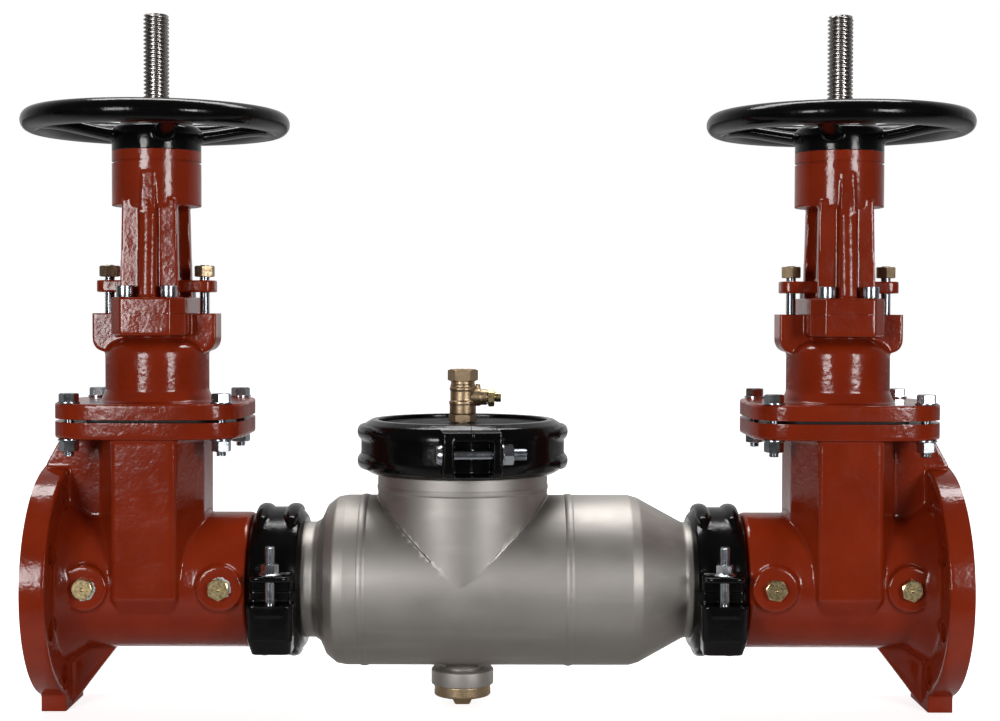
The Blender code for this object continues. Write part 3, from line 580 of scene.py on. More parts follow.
SURFACES = {make.__name__: make() for make in (red_epoxy, stainless, bronze, graphite)}
METAL = {"Metallic": 1.0}
ENAMEL_RELIEF = ((0.01, 2, 0.0005, 0.45), (0.003, 2, 0.00012, 0.5))
for name, tone, first, second, shine, reliefs, values in (
    ("black_enamel", (0.03, 3), (0.0018, 0.0016, 0.0016), (0.004, 0.0036, 0.0036),
     (0.018, 2, 0.1, 0.22), ENAMEL_RELIEF, {"Specular_IOR_Level": 0.28}),
    ("satin_enamel", (0.03, 3), (0.004, 0.0038, 0.0038), (0.009, 0.0085, 0.0085),
     (0.018, 2, 0.42, 0.58), ((0.01, 2, 0.0004, 0.4),), {"Specular_IOR_Level": 0.12}),
    # weld_metal_and_highlight: weld beads in metal lighter and glossier than the stainless, partly a painted
    # highlight along the branch's creases
    ("weld_metal_and_highlight", (0.004, 3), (0.62, 0.6, 0.57), (0.42, 0.39, 0.36),
     (0.003, 3, 0.28, 0.5), ((0.0018, 2, 0.0003, 0.7),), METAL),
    ("zinc", (0.006, 2), (0.43, 0.455, 0.49), (0.5, 0.52, 0.55),
     (0.006, 2, 0.17, 0.27), ((0.0016, 2, 0.00002, 0.2),), METAL),
    ("turned_steel", (0.01, 4), (0.4, 0.38, 0.365), (0.5, 0.475, 0.46),
     (0.002, 2, 0.2, 0.34), ((0.002, 2, 0.00002, 0.1),), METAL),
    ("brass", (0.005, 2), (0.56, 0.435, 0.22), (0.68, 0.545, 0.3),
     (0.003, 3, 0.22, 0.34), ((0.001, 2, 0.00005, 0.3),), METAL),
    ("rubber", (0.01, 3), (0.012, 0.012, 0.012), (0.024, 0.023, 0.022),
     (0.006, 3, 0.55, 0.75), ((0.0015, 3, 0.0001, 0.5),), {}),
    ("acetal", (0.02, 3), (0.72, 0.71, 0.66), (0.78, 0.77, 0.73),
     (0.006, 3, 0.32, 0.46), ((0.002, 3, 0.00006, 0.5),), {"Specular_IOR_Level": 0.5}),
    ("thread_tape", (0.003, 4), (0.7, 0.7, 0.68), (0.88, 0.88, 0.87),
     (0.002, 3, 0.5, 0.7), ((0.0012, 4, 0.0003, 0.7),), {"Subsurface_Weight": 0.2}),
):
    SURFACES[name] = plain(name, tone, first, second, shine, reliefs, **values)


def piece(obj, name, surface, place, body="fixed_pieces", nodes=(), crisp=38):
    """Places a shape as a named piece that moves with a CAD body. One in use already is placed again."""
    if obj.name in workshop.objects:
        workshop.objects.unlink(obj)
        mesh = obj.data
        obj.name = mesh.name = name
        mesh.materials.clear()
        mesh.materials.append(SURFACES[surface])
        mesh.shade_smooth()
        mesh.set_sharp_from_angle(angle=math.radians(crisp))
    else:
        obj = bpy.data.objects.new(name, obj.data)
    preventer.objects.link(obj)
    obj.matrix_world = place
    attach(obj, body)
    if nodes:
        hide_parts(*nodes)
    return obj


def pieces(obj, name, surface, places, node=None, group=None, crisp=38):
    """One shape at several places. Names start with the place's, and group ends the body's name."""
    made = []
    for side, place in places.items():
        body = f"{side}_{group}" if group else "fixed_pieces"
        nodes = [f"{side}_{node}"] if node else []
        made.append(piece(obj, f"{side}_{name}", surface, place, body, nodes, crisp))
    return made


VALVES = {"inlet": shift(INLET_X, 0, PIPE_Z), "outlet": shift(OUTLET_X, 0, PIPE_Z) @ spin(math.pi)}
TEE = shift(TEE_X, 0, PIPE_Z)


# Gate valve

SPARE = 0.003  # left on a casting where a face is cut flat
FIT = 0.0003  # clearance round a moving stem
FLANGE_RADIUS = 0.1143
FLANGE_BACK = FACE + 0.024
FLANGE_CIRCLE = 0.09525
BARREL_RADIUS = 0.067
CHEST_TOP = 0.1605
BONNET_LOW = 0.1635
BONNET_TOP = 0.1785
LID = (0.0925, 0.0795, 4.3)
LID_THICK = 0.0162
BONNET_BOLTS = (0.073, 0.062)
BONNET_HOLE = 0.0068
PLUG_X = (-0.0583, 0.0715)
PLUG_Z = 0.0015
HEAD = (0.036, 0.062, 0.012, 0.0165, 0.002)
HEAD_LOW = 0.2435
YOKE_LOW = 0.2648
YOKE_PLATE_TOP = 0.2805
YOKE_BOLTS = (0.021, 0.051)
GLAND_STUD_X = 0.047
YOKE_HEAD_LOW = 0.37
YOKE_TOP = 0.424
HUB_LOW = 0.4248
HUB_RADIUS = 0.0436
HUB_BORE = 0.0197
STEM_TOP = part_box("inlet_stem")[1].z - PIPE_Z
WHEEL_Z = 0.4525
WHEEL_RADIUS = 0.1195
RIM_RADIUS = 0.0115
SIXTH = 1.05  # just over a sixth of a turn, in radians


def corners(half_x, half_y):
    return [(x, y) for x in (-half_x, half_x) for y in (-half_y, half_y)]


def drills(spots, radius, low, high, steps=32):
    return [rod(radius, (x, y, low), (x, y, high), steps) for x, y in spots]


def slab(low, high, reach=0.2):
    """A wide block from one height to another, to cut things off with."""
    return block((-reach, -reach, low), (reach, reach, high))


def valve_casting():
    """The valve body as cast: flange, barrel, the wedge's chest, ribs, foot and bosses."""
    profile = [
        (0, SPIGOT - 0.025), (BARREL_RADIUS, SPIGOT - 0.025, 0.003),
        (BARREL_RADIUS, FLANGE_BACK + 0.02, 0.012), (BARREL_RADIUS + 0.014, FLANGE_BACK - 0.001, 0.006),
        (FLANGE_RADIUS, FLANGE_BACK, 0.002), (FLANGE_RADIUS, FACE - 0.004), (0, FACE - 0.004),
    ]
    barrel = turned(profile, 128, along_x=True)
    outline = cut_rectangle(0.0505, 0.0735, 0.0205, 0.047, 0.006)
    foot = cut_rectangle(0.03, 0.046, 0.011, 0.024, 0.004)
    chest = hull(at(outline, CHEST_TOP - 0.006) + at(outline, -0.009) + at(foot, -0.0475))
    lid = plate(superellipse(*LID), CHEST_TOP - LID_THICK, CHEST_TOP + SPARE, 0.001)
    stand = block((FACE - SPARE, -0.036, -PIPE_Z - SPARE), (FLANGE_BACK, 0.036, -0.1))
    low_rib = [
        (FLANGE_BACK - 0.004, -0.122), (FLANGE_BACK + 0.001, -0.122), (-0.038, -0.064), (-0.038, -0.05),
        (FLANGE_BACK - 0.004, -0.05),
    ]
    top_rib = [
        (-0.0885, CHEST_TOP - 0.012), (FACE + 0.002, 0.117), (FACE + 0.002, 0.1), (-0.086, 0.09),
        (-0.086, 0.055), (-0.045, 0.055), (-0.045, CHEST_TOP - 0.012),
    ]
    ribs = [plate(rib, -half, half, upright=True) for rib, half in ((low_rib, 0.009), (top_rib, 0.0195))]
    parts = [barrel, chest, lid, stand, *ribs]
    for x in PLUG_X:
        for side in (-1, 1):
            start, end = (x, side * 0.05, PLUG_Z), (x, side * 0.0715, PLUG_Z)
            parts.append(rod(0.027, start, end, end_radius=0.0218))
    parts.append(block((FLANGE_BACK - 0.002, -0.066, PLUG_Z - 0.018), (PLUG_X[0], 0.066, PLUG_Z + 0.018)))
    return cast(*parts, voxel=0.0016)


def valve_body():
    body = valve_casting()
    profile = [
        (0, SPIGOT), (SMALL_PIPE, SPIGOT, 0.001), (SMALL_PIPE, SPIGOT - LIP, 0.0004),
        (SMALL_GROOVE, SPIGOT - LIP, 0.0004), (SMALL_GROOVE, SPIGOT - 0.03), (0, SPIGOT - 0.03),
    ]
    body = fused(body, turned(profile, along_x=True), solver="MANIFOLD")
    cavity = disc(0.06, -0.044, 0.044, 72, along_x=True)
    well = plate(cut_rectangle(0.042, 0.06, 0.02, 0.04), 0, CHEST_TOP + 0.02)
    below = slab(-PIPE_Z - 0.05, -PIPE_Z)
    before = block((FACE - 0.05, -0.2, -0.2), (FACE, 0.2, 0.2))
    above = block((-0.15, -0.12, CHEST_TOP), (0.15, 0.12, CHEST_TOP + 0.04))
    body = machined(body, cavity, well, below, before, above)
    seats = []
    for low, high in ((0.0183, 0.048), (-0.048, -0.0183)):
        seats.append(tube(SMALL_BORE - 0.002, SMALL_BORE + 0.007, low, high, 72, along_x=True))
    body = fused(body, *seats, solver="MANIFOLD")
    holes = [disc(SMALL_BORE, -0.14, 0.14, along_x=True)]
    for index in range(8):
        z, y = around(FLANGE_CIRCLE, math.pi / 8 + index * math.pi / 4)
        holes.append(rod(0.0095, (FACE - 0.02, y, z), (FLANGE_BACK + 0.02, y, z), 40))
        holes.append(rod(0.0158, (FLANGE_BACK - 0.0008, y, z), (FLANGE_BACK + 0.018, y, z)))
    holes += drills(corners(*BONNET_BOLTS), BONNET_HOLE, CHEST_TOP - 0.03, CHEST_TOP + 0.01)
    holes += drills(corners(*BONNET_BOLTS), 0.0118, CHEST_TOP - 0.034, CHEST_TOP - LID_THICK + 0.0004, 40)
    return machined(body, *holes)


def bonnet_gasket():
    outer = plate(rounded_rectangle(0.058, 0.07, 0.016), CHEST_TOP + 0.0001, BONNET_LOW - 0.0001, 0.0004)
    return carved(outer, plate(rounded_rectangle(0.046, 0.062, 0.01), CHEST_TOP - 0.01, BONNET_LOW + 0.01))


def bonnet():
    lid = plate(superellipse(*LID), BONNET_LOW - SPARE, BONNET_TOP, 0.001)
    profile = [
        (0, 0.246), (0.034, 0.246), (0.034, 0.24, 0.002), (0.0508, 0.233, 0.02),
        (0.0508, BONNET_LOW + 0.008), (0, BONNET_LOW + 0.008),
    ]
    dome = turned(profile)
    skirt = turned([(0, 0.188), (0.051, 0.188), (0.0555, BONNET_TOP - 0.001), (0, BONNET_TOP - 0.001)])
    head = plate(cut_rectangle(*HEAD), HEAD_LOW, YOKE_LOW + SPARE, 0.001)
    half = [(0.0607, 0.2658), (0.0607, 0.2265, 0.016), (0.03, 0.227)]
    ears = eased(half + [(-x, *rest) for x, *rest in reversed(half)], closed=True, steps=8)
    ears = plate(ears, -0.0185, 0.0185, 0.001, upright=True)
    made = cast(lid, dome, skirt, head, ears, voxel=0.00125)
    profile = [(0, 0.2165), (0.03, 0.2165, 0.01), (0.043, 0.203, 0.006), (0.043, 0.15), (0, 0.15)]
    cutters = [
        turned(profile, 72),
        disc(STEM_RADIUS + FIT, 0.2, 0.29, 64),
        disc(0.0218, 0.233, 0.29, 64),
        slab(0.14, BONNET_LOW, 0.15),
        slab(YOKE_LOW - 0.0002, 0.3, 0.1),
    ]
    cutters += drills(corners(*BONNET_BOLTS), BONNET_HOLE, BONNET_LOW - 0.01, BONNET_TOP + 0.01)
    return machined(made, *cutters)


def packing():
    """Four rings of braided cord."""
    bore, outer, low, high, ring = STEM_RADIUS + 0.0002, 0.0216, 0.2333, 0.2538, 0.0052
    outline = [(bore, low)]
    for index in range(4):
        outline.append((outer, low + ring * index + 0.0004, 0.0004))
        outline.append((outer, low + ring * (index + 1) - 0.0004, 0.0004))
        outline.append((outer - 0.0008, low + ring * (index + 1)))
    outline[-1] = (outer, high, 0.0005)
    outline.append((bore, high))
    return turned(outline[::-1], 64, ring=True)


def gland():
    ears = plate(rounded_rectangle(0.0584, 0.0165, 0.012), 0.2855, 0.2973, 0.001)
    collar = turned([(0, 0.3015), (0.0232, 0.3015, 0.003), (0.025, 0.286), (0, 0.286)], 64)
    made = cast(ears, collar, disc(0.0213, 0.2543, 0.2875, 64), voxel=0.0009)
    studs = drills([(-GLAND_STUD_X, 0), (GLAND_STUD_X, 0)], 0.0056, 0.27, 0.31)
    return machined(made, disc(STEM_RADIUS + FIT, 0.24, 0.31, 64), *studs)


def yoke_arm(side):
    """One leg of the yoke: a tapered web with a half-round rib down its outer face."""
    low, high = YOKE_PLATE_TOP - 0.004, YOKE_HEAD_LOW + 0.006
    web = [(x, side * y, low) for x in (-0.0285, 0.0285) for y in (0.03, 0.041)]
    web += [(x, side * y, high) for x in (-0.0262, 0.0262) for y in (0.027, 0.0395)]
    rib = []
    for height, reach in ((low, 0.0545), (high, 0.0455)):
        for step in range(13):
            x, y = around(1, math.pi * step / 12)
            rib.append((0.0088 * x, side * (reach - 0.006 + 0.006 * y), height))
        rib += [(x, side * 0.03, height) for x in (-0.0088, 0.0088)]
    return [hull(web), hull(rib)]


def yoke():
    parts = [plate(cut_rectangle(*HEAD), YOKE_LOW - SPARE, YOKE_PLATE_TOP, 0.001)]
    parts.append(disc(HUB_RADIUS, YOKE_HEAD_LOW, YOKE_TOP + SPARE))
    rise = ((0.0088, 0.02, 0.362), (0.008, 0.0462, 0.362), (0.006, 0.02, 0.409), (0.0055, 0.044, 0.402))
    for side in (-1, 1):
        parts.append(hull([(x, side * y, z) for half, y, z in rise for x in (-half, half)]))
    parts += yoke_arm(-1) + yoke_arm(1)
    cutters = [
        tube(HUB_RADIUS - 0.002, HUB_RADIUS + 0.01, 0.4118, 0.414),
        disc(0.027, YOKE_LOW - 0.01, YOKE_PLATE_TOP + 0.01, 72),
        disc(0.02, YOKE_HEAD_LOW - 0.01, YOKE_TOP + 0.01, 72),
        disc(0.032, 0.397, 0.407, 72),
        slab(0.24, YOKE_LOW, 0.1),
        slab(YOKE_TOP, 0.45, 0.1),
    ]
    cutters += drills(corners(*YOKE_BOLTS), 0.0052, YOKE_LOW - 0.01, YOKE_PLATE_TOP + 0.01)
    return machined(cast(*parts, voxel=0.00115), *cutters)


def stem_nut():
    bore, outer, shoulder = STEM_RADIUS + 0.0002, 0.0195, 0.031
    profile = [
        (bore, 0.4715, 0.001), (outer, 0.4715, 0.001), (outer, 0.4065), (shoulder, 0.4065, 0.0005),
        (shoulder, 0.3975, 0.0005), (outer, 0.3975), (outer, 0.3735, 0.0008), (bore, 0.3735, 0.0008),
    ]
    return turned(profile, 64, ring=True)


def spoke(angle):
    """An oval arm that rises from the hub to the rim and widens at both ends."""
    rings = []
    inner, root = 0.024, 0.4385
    for step in range(13):
        share = step / 12
        reach = inner + (WHEEL_RADIUS - 0.002 - inner) * share
        height = root + (WHEEL_Z - 0.0015 - root) * (share * share * (3 - 2 * share))
        flare = 1 + 0.35 * (2 * share - 1) ** 4
        ring = [around(flare, turn) for turn in turns(20)]
        rings.append([(reach, 0.0098 * y, height + 0.0066 * z) for y, z in ring])
    return bent(loft(rings), spin(angle))


def handwheel():
    profile = [
        (0, 0.456), (0.0345, 0.456, 0.002), (0.036, 0.45, 0.003), (0.0425, 0.4475, 0.004),
        (HUB_RADIUS, 0.44, 0.004), (HUB_RADIUS, HUB_LOW - SPARE), (0, HUB_LOW - SPARE),
    ]
    section = [around(RIM_RADIUS, -turn) for turn in turns(24)]
    rim = turned([(WHEEL_RADIUS + r, WHEEL_Z + z) for r, z in section], 160, ring=True)
    arms = [spoke(index * math.pi / 2) for index in range(4)]
    made = cast(turned(profile), rim, *arms, voxel=0.00135)
    return machined(made, disc(HUB_BORE, 0.42, 0.47, 72), slab(0.4, HUB_LOW, 0.1))


def stem():
    screw = threaded(STEM_RADIUS, 0.262, STEM_TOP, 0.004, 0.0022, 2, -1, 48, chamfer=0.0015)
    return joined(disc(STEM_RADIUS, LIFT + 0.044, 0.264, 64, 0.0008), screw)


def wedge():
    gate = turned(mirrored([(0, 0.017), (0.057, 0.0165, 0.004)]), along_x=True)
    face = tube(0.044, 0.053, -0.0176, 0.0176, ease=0.0006, along_x=True)
    boss = disc(0.0175, 0.02, 0.072, 48, 0.002)
    gate, face, boss = [moved(part, z=LIFT) for part in (gate, face, boss)]
    made = cast(gate, face, boss, voxel=0.0013, softening=2)
    return machined(made, disc(STEM_RADIUS + FIT, LIFT + 0.0437, LIFT + 0.09, 48))


def cap_screw():
    """Socket head screw along Z, with its head's underside at 0."""
    head = turned([(0, 0.011), (0.0083, 0.011, 0.0008), (0.0083, 0, 0.0003), (0, 0)], 48)
    head = carved(head, hexagonal(0.008, 0.005, 0.02, chamfers=(False, False)))
    return joined(head, disc(0.0049, -0.03, 0.0001, 32))


def bonnet_bolt():
    """Hexagon bolt through both lids, with a washer at each end and a nut below."""
    top, low, radius, flats = BONNET_TOP, CHEST_TOP - LID_THICK + 0.0003, 0.005, 0.0165
    washers = [tube(0.0052, 0.0106, z, z + 0.0016, 48, 0.0003) for z in (top + 0.0001, low - 0.0017)]
    return joined(
        hexagonal(flats, top + 0.0016, top + 0.0098, chamfers=(False, True)),
        *washers,
        hexagonal(flats, low - 0.012, low - 0.0018, hole=radius),
        threaded(radius, low - 0.0165, low + 0.028, 0.0015, 0.0009, chamfer=0.0008),
        disc(radius, low + 0.027, top + 0.003, 24),
    )


def handwheel_nut():
    collar = tube(HUB_BORE, 0.029, 0.4563, 0.4585, 64, 0.0004)
    return joined(collar, hexagonal(0.052, 0.4585, 0.469, hole=HUB_BORE, steps=96))


def test_plug():
    """Hexagon head plug along Z, with its shoulder at 0."""
    head = hexagonal(0.019, 0.0, 0.0066, chamfers=(False, True))
    dimple = turned([(0, 0.004), (0.003, 0.008), (0, 0.024)], 24)
    return joined(carved(head, dimple), disc(0.0085, -0.006, 0.0005, 40))


def tape_shred(seed, start, sweep, tail):
    """Torn white tape left round a plug's thread, with a loose end hanging down."""
    rng = random.Random(seed)
    rings = []
    for step in range(26):
        share = step / 25
        reach = 0.0102 + rng.uniform(-0.0004, 0.001)
        thick = 0.0002 + 0.0009 * math.sin(math.pi * share) ** 0.5 * rng.uniform(0.6, 1.3)
        high = rng.uniform(0.0006, 0.0024)
        inner, outer = reach - thick, reach + thick
        section = ((inner, -0.0006), (outer, -0.0006), (outer, high), (inner, high))
        rings.append([around(r, start + sweep * share, z) for r, z in section])
    parts = [loft(rings)]
    if tail:
        x, y = around(0.0104, start + sweep * 0.9)
        strand = []
        for step in range(12):
            share = step / 11
            sway = 0.0009 * math.sin(7 * share + seed)
            strand.append((x + sway, y - tail * share, 0.0012 + 0.0006 * math.sin(5 * share)))
        parts.append(wire(strand, 0.00055, 6))
    return joined(*parts)


def gate_valves():
    for make, surface, group, crisp in (
        (valve_body, "red_epoxy", "", 38),
        (bonnet_gasket, "rubber", "", 38),
        (bonnet, "red_epoxy", "", 38),
        (packing, "graphite", "", 38),
        (gland, "red_epoxy", "", 38),
        (yoke, "red_epoxy", "", 38),
        (stem_nut, "bronze", "wheel", 38),
        (handwheel, "black_enamel", "wheel", 38),
        (handwheel_nut, "zinc", "wheel", 20),
        (stem, "turned_steel", "gate", 30),
        (wedge, "rubber", "gate", 38),
    ):
        name = make.__name__
        inlet, outlet = pieces(make(), name, surface, VALVES, name, group, crisp)
        if name.startswith("handwheel"):
            outlet.data = inlet.data.copy()
            bent(inlet, spin(WHEEL_TURN))
            bent(outlet, spin(-WHEEL_TURN))
    for index, label in enumerate(("outer", "inner")):
        x = (-GLAND_STUD_X, GLAND_STUD_X)[index]
        stud = threaded(0.0051, 0.24, 0.3125, 0.0015, 0.0008)
        pieces(moved(stud, x), "gland_stud_" + label, "zinc", VALVES, "gland_bolt_" + label, crisp=30)
        nut = bent(hexagonal(0.0178, 0.3008, 0.3118, hole=0.0051), spin(0.4 + 1.1 * index))
        pieces(moved(nut, x), "gland_nut_" + label, "bronze", VALVES, crisp=20)
    fasteners()


def fasteners():
    """Bolts, screws and plugs that the CAD model leaves to the looks. Each is turned its own way."""
    rng = random.Random(4)
    bolts = [shift(x, y) for x, y in corners(*BONNET_BOLTS)]
    screws = [shift(x, y, YOKE_PLATE_TOP + 0.0001) for x, y in corners(*YOKE_BOLTS)]
    plugs = []
    for x in PLUG_X:
        for face in (-1, 1):
            plugs.append(shift(x, face * 0.0713, PLUG_Z) @ spin(-face * math.pi / 2, "X"))
    kinds = (
        ("bonnet_bolt", bonnet_bolt(), "zinc", bolts),
        ("yoke_screw", cap_screw(), "zinc", screws),
        ("test_plug", test_plug(), "brass", plugs),
    )
    for side, valve in VALVES.items():
        for kind, obj, surface, spots in kinds:
            for index, spot in enumerate(spots):
                name = f"{side}_{kind}_{index + 1}"
                place = valve @ spot @ spin(rng.uniform(0, SIXTH))
                piece(obj, name, surface, place, crisp=20)
    for index, (start, tail) in enumerate(((-2.2, 0.0), (-0.9, 0.011))):
        place = VALVES["inlet"] @ shift(PLUG_X[index], -0.0711, PLUG_Z) @ spin(math.pi / 2, "X")
        shred = tape_shred(3 + index, start, 3.0, tail)
        piece(shred, f"inlet_plug_tape_{index + 1}", "thread_tape", place)


# Stainless body


def weld_ring(radius, x):
    """A weld bead round the pipe, slightly uneven like a hand-run one."""
    rng = random.Random(11)
    columns = []
    for step, angle in enumerate(turns(180)):
        lift = 0.001 + 0.00008 * math.sin(step * 1.9) + rng.uniform(-0.00004, 0.00004)
        ring = []
        for index in range(9):
            share = index / 8
            reach = radius - 0.0004 + (lift + 0.0004) * math.sin(math.pi * share) ** 0.7
            ring.append(around(reach, angle, x + 0.0095 * (share - 0.5)))
        columns.append(ring + [around(radius - 0.0015, angle, x)])
    return lay_along_x(loft(columns, loop=True))


def saddle_weld_and_highlight():
    """The beads along the creases where the branch meets the body, in metal lighter and glossier than the
    body's: partly weld metal, partly a painted highlight that draws each crease as a bright line.
    """
    made = []
    for front in (-1, 1):
        for side in (-1, 1):
            line = []
            for step in range(40):
                reach, away = around(LARGE_PIPE + 0.0001, math.radians(20 + 68 * step / 39))
                line.append((side * away, front * reach, away))
            made.append(wire(line, 0.0008, 8))
    return joined(*made)


def grooved_end(pipe, groove, end):
    """The profile of a rolled pipe end, from its face back past the groove."""
    return [
        (pipe, end, 0.0008), (pipe, end - LIP, 0.0006), (groove, end - 0.0163, 0.0006),
        (groove, end - 0.0242, 0.0006), (pipe, end - 0.0246, 0.0006),
    ]


def check_valve_body():
    end = grooved_end(SMALL_PIPE, SMALL_GROOVE, BODY_HALF)
    run = [
        (SMALL_PIPE, 0.1835, 0.008), (0.0815, 0.139, 0.014), (LARGE_PIPE, 0.13, 0.01),
        (LARGE_PIPE, -0.148, 0.006), (0.0825, -0.158, 0.008), (0.0745, -0.168, 0.008),
        (0.061, -0.174, 0.005), (SMALL_PIPE, -0.18, 0.006),
    ]
    outer = [(0, BODY_HALF)] + end + run + [(r, -x, e) for r, x, e in reversed(end)] + [(0, -BODY_HALF)]
    neck, room = SMALL_PIPE - WALL, LARGE_PIPE - WALL
    inner = [
        (0, 0.23), (neck, 0.23), (neck, 0.181, 0.008), (room, 0.129, 0.01),
        (room, -0.148, 0.01), (neck, -0.177, 0.008), (neck, -0.23), (0, -0.23),
    ]
    top = COVER_JOINT_Z - 0.0015
    branch = [(0, top)] + grooved_end(LARGE_PIPE, LARGE_GROOVE, top)
    branch += [
        (LARGE_PIPE, 0.0965, 0.0004), (LARGE_PIPE + 0.0007, 0.0945, 0.0008),
        (LARGE_PIPE + 0.0005, 0.0915, 0.0008), (LARGE_PIPE - 0.0001, 0.09, 0.0004),
        (LARGE_PIPE - 0.0001, 0), (0, 0),
    ]
    branch = divided_turn(branch)
    drain = [(0, -0.07), (0.0235, -0.07), (0.0214, -0.0865, 0.002), (0.0214, -0.0955), (0, -0.0955)]
    drain = turned(drain, 64)
    made = divided_turn(outer, along_x=True)
    made = fused(made, moved(branch, TEE_X), moved(drain, TEE_X))
    ways = [disc(room, 0, 0.2), disc(0.015, -0.12, -0.04, 48)]
    return carved(made, turned(inner, along_x=True), *[moved(way, TEE_X) for way in ways])


def top_cover():
    low = COVER_JOINT_Z + 0.0015
    face, under, hole, shoulder = 0.1565, 0.146, 0.0105, low + LIP
    profile = [
        (hole, face, 0.0003), (0.066, face, 0.01), (0.07, 0.1552, 0.006), (0.076, 0.1552, 0.004),
        (0.079, face, 0.001), (LARGE_GROOVE, 0.1552, 0.001), (LARGE_GROOVE, shoulder, 0.0004),
        (LARGE_PIPE, shoulder, 0.0004), (LARGE_PIPE, low, 0.0008), (0.0745, low, 0.001),
        (0.072, under, 0.003), (hole, under, 0.0003),
    ]
    return turned(profile, 144, ring=True)


def drain_nut():
    profile = [
        (0.0216, -0.0875, 0.0005), (0.0292, -0.0875, 0.001), (0.0311, -0.0895, 0.001),
        (0.0311, -0.1035, 0.0008), (0.0216, -0.1035, 0.0005),
    ]
    return turned(profile, ring=True)


def drain_plug():
    profile = [
        (0, -0.096), (0.0213, -0.096), (0.0213, -0.1037), (0.0281, -0.1037, 0.0004),
        (0.0281, -0.1146, 0.0012), (0.02, -0.1168, 0.004), (0, -0.119),
    ]
    tip = []
    steps = ((0.012, 0.003, -0.113), (0.0086, 0.002, -0.118), (0.0076, 0.0015, -0.1235))
    for half, radius, z in (*steps, (0.0068, 0.0015, -0.1243)):
        tip += at(rounded_rectangle(half, half, radius), z)
    return cast(turned(profile), hull(tip), voxel=0.0007, softening=3)


COCK_Z = 0.182
SPINDLE_HOLE = 0.0051


def test_cock_body():
    profile = [
        (0, 0.2), (0.0118, 0.2), (0.0118, 0.1952, 0.001), (0.0124, 0.194, 0.0006),
        (0.0124, 0.1922, 0.0006), (0.0132, 0.1912, 0.0006), (0.0132, 0.1895, 0.0006), (0.0124, 0.188, 0.001),
        (0.0124, 0.179, 0.001), (0.0136, 0.1778, 0.0006), (0.0136, 0.1755, 0.0006), (0.0131, 0.1742, 0.001),
        (0.0131, 0.166, 0.001), (0.0118, 0.1645, 0.0006), (0, 0.1645),
    ]
    barrel = turned(profile, 64)
    top = hexagonal(0.0262, 0.1978, 0.2098)
    bottom = hexagonal(0.0246, 0.157, 0.1652)
    thread = disc(0.01, 0.144, 0.1585, 48, 0.0005)
    profile = [
        (0, 0.024), (0.0079, 0.024, 0.0005), (0.0079, 0.0185, 0.001), (0.0089, 0.0165, 0.001),
        (0.0089, 0.004), (0, 0.004),
    ]
    boss = moved(turned(profile, 48, along_x=True), z=COCK_Z)
    stop = turned([(0, 0.013), (0.0022, 0.013, 0.0008), (0.003, 0.006), (0.003, 0), (0, 0)], 24)
    made = fused(barrel, top, bottom, thread, boss, moved(stop, 0.015, 0, COCK_Z))
    way = [
        (0, 0.22), (0.0085, 0.22), (0.0085, 0.2085, 0.001), (0.0062, 0.199, 0.001),
        (0.0052, 0.196), (0.0052, 0.13), (0, 0.13),
    ]
    room = moved(ball(0.0098), z=COCK_Z)
    return carved(made, turned(way, 48), room, rod(0.0052, (0, 0, COCK_Z), (0.03, 0, COCK_Z), 32))


def test_cock_ball():
    return carved(
        ball(0.0094),
        rod(0.005, (0, -0.02, 0), (0, 0.02, 0), 32),
        block((0.0062, -0.01, -0.01), (0.012, 0.01, 0.02)),
        block((-0.012, -0.01, -0.01), (-0.0085, 0.01, 0.02)),
    )


def test_cock_spindle():
    """Along X, with a groove near its end and a slot for a screwdriver."""
    outer, groove, ease = 0.0049, 0.0044, 0.0003
    profile = [
        (0, 0.038), (outer, 0.038, 0.0006), (outer, 0.033, ease), (groove, 0.0325, ease),
        (groove, 0.032, ease), (outer, 0.0315, ease), (outer, 0.0066), (0, 0.0066),
    ]
    return carved(turned(profile, 40, along_x=True), block((0.0352, -0.00075, -0.01), (0.04, 0.00075, 0.02)))


def test_cock_nut():
    nut = lay_along_x(hexagonal(0.0165, 0.025, 0.0315, hole=SPINDLE_HOLE))
    rim = tube(SPINDLE_HOLE, 0.0072, 0.0242, 0.0251, 40, 0.0002, along_x=True)
    return moved(joined(nut, rim), z=COCK_Z)


def centre_pieces():
    straight = shift(0, 0, PIPE_Z)
    axis = TEE @ shift(0, 0, COCK_Z)
    welds = joined(weld_ring(LARGE_PIPE, -0.131), weld_ring(LARGE_PIPE, 0.07))
    piece(welds, "girth_welds", "stainless", straight)
    # the branch weld's lighter, glossier metal is partly a painted highlight along the creases
    piece(saddle_weld_and_highlight(), "branch_weld_and_highlight", "weld_metal_and_highlight", TEE)
    for make, surface, place, crisp in (
        (check_valve_body, "stainless", straight, 75),
        (top_cover, "satin_enamel", TEE, 30),
        (drain_nut, "stainless", TEE, 30),
        (drain_plug, "bronze", TEE, 38),
        (test_cock_body, "bronze", TEE, 30),
        (test_cock_nut, "brass", TEE, 30),
        (test_cock_ball, "turned_steel", axis, 30),
        (test_cock_spindle, "brass", axis, 30),
    ):
        body = "test_cock_valve" if place is axis else "fixed_pieces"
        piece(make(), make.__name__, surface, place, body, [make.__name__], crisp=crisp)


# Check modules, along X from the face of the seat

SEAT_THICK = 0.01
MODULE_RADIUS = 0.0785
MODULE_LENGTH = 0.078
POPPET_BACK = 0.02
HUB_FACE = 0.068


def check_seat():
    face = SEAT_THICK - 0.0012
    profile = [
        (0.045, SEAT_THICK, 0.0008), (0.0475, SEAT_THICK, 0.0004), (0.05, face, 0.0004),
        (MODULE_RADIUS, face, 0.001), (MODULE_RADIUS, 0, 0.001), (0.048, 0, 0.003),
    ]
    return turned(profile, ring=True, along_x=True)


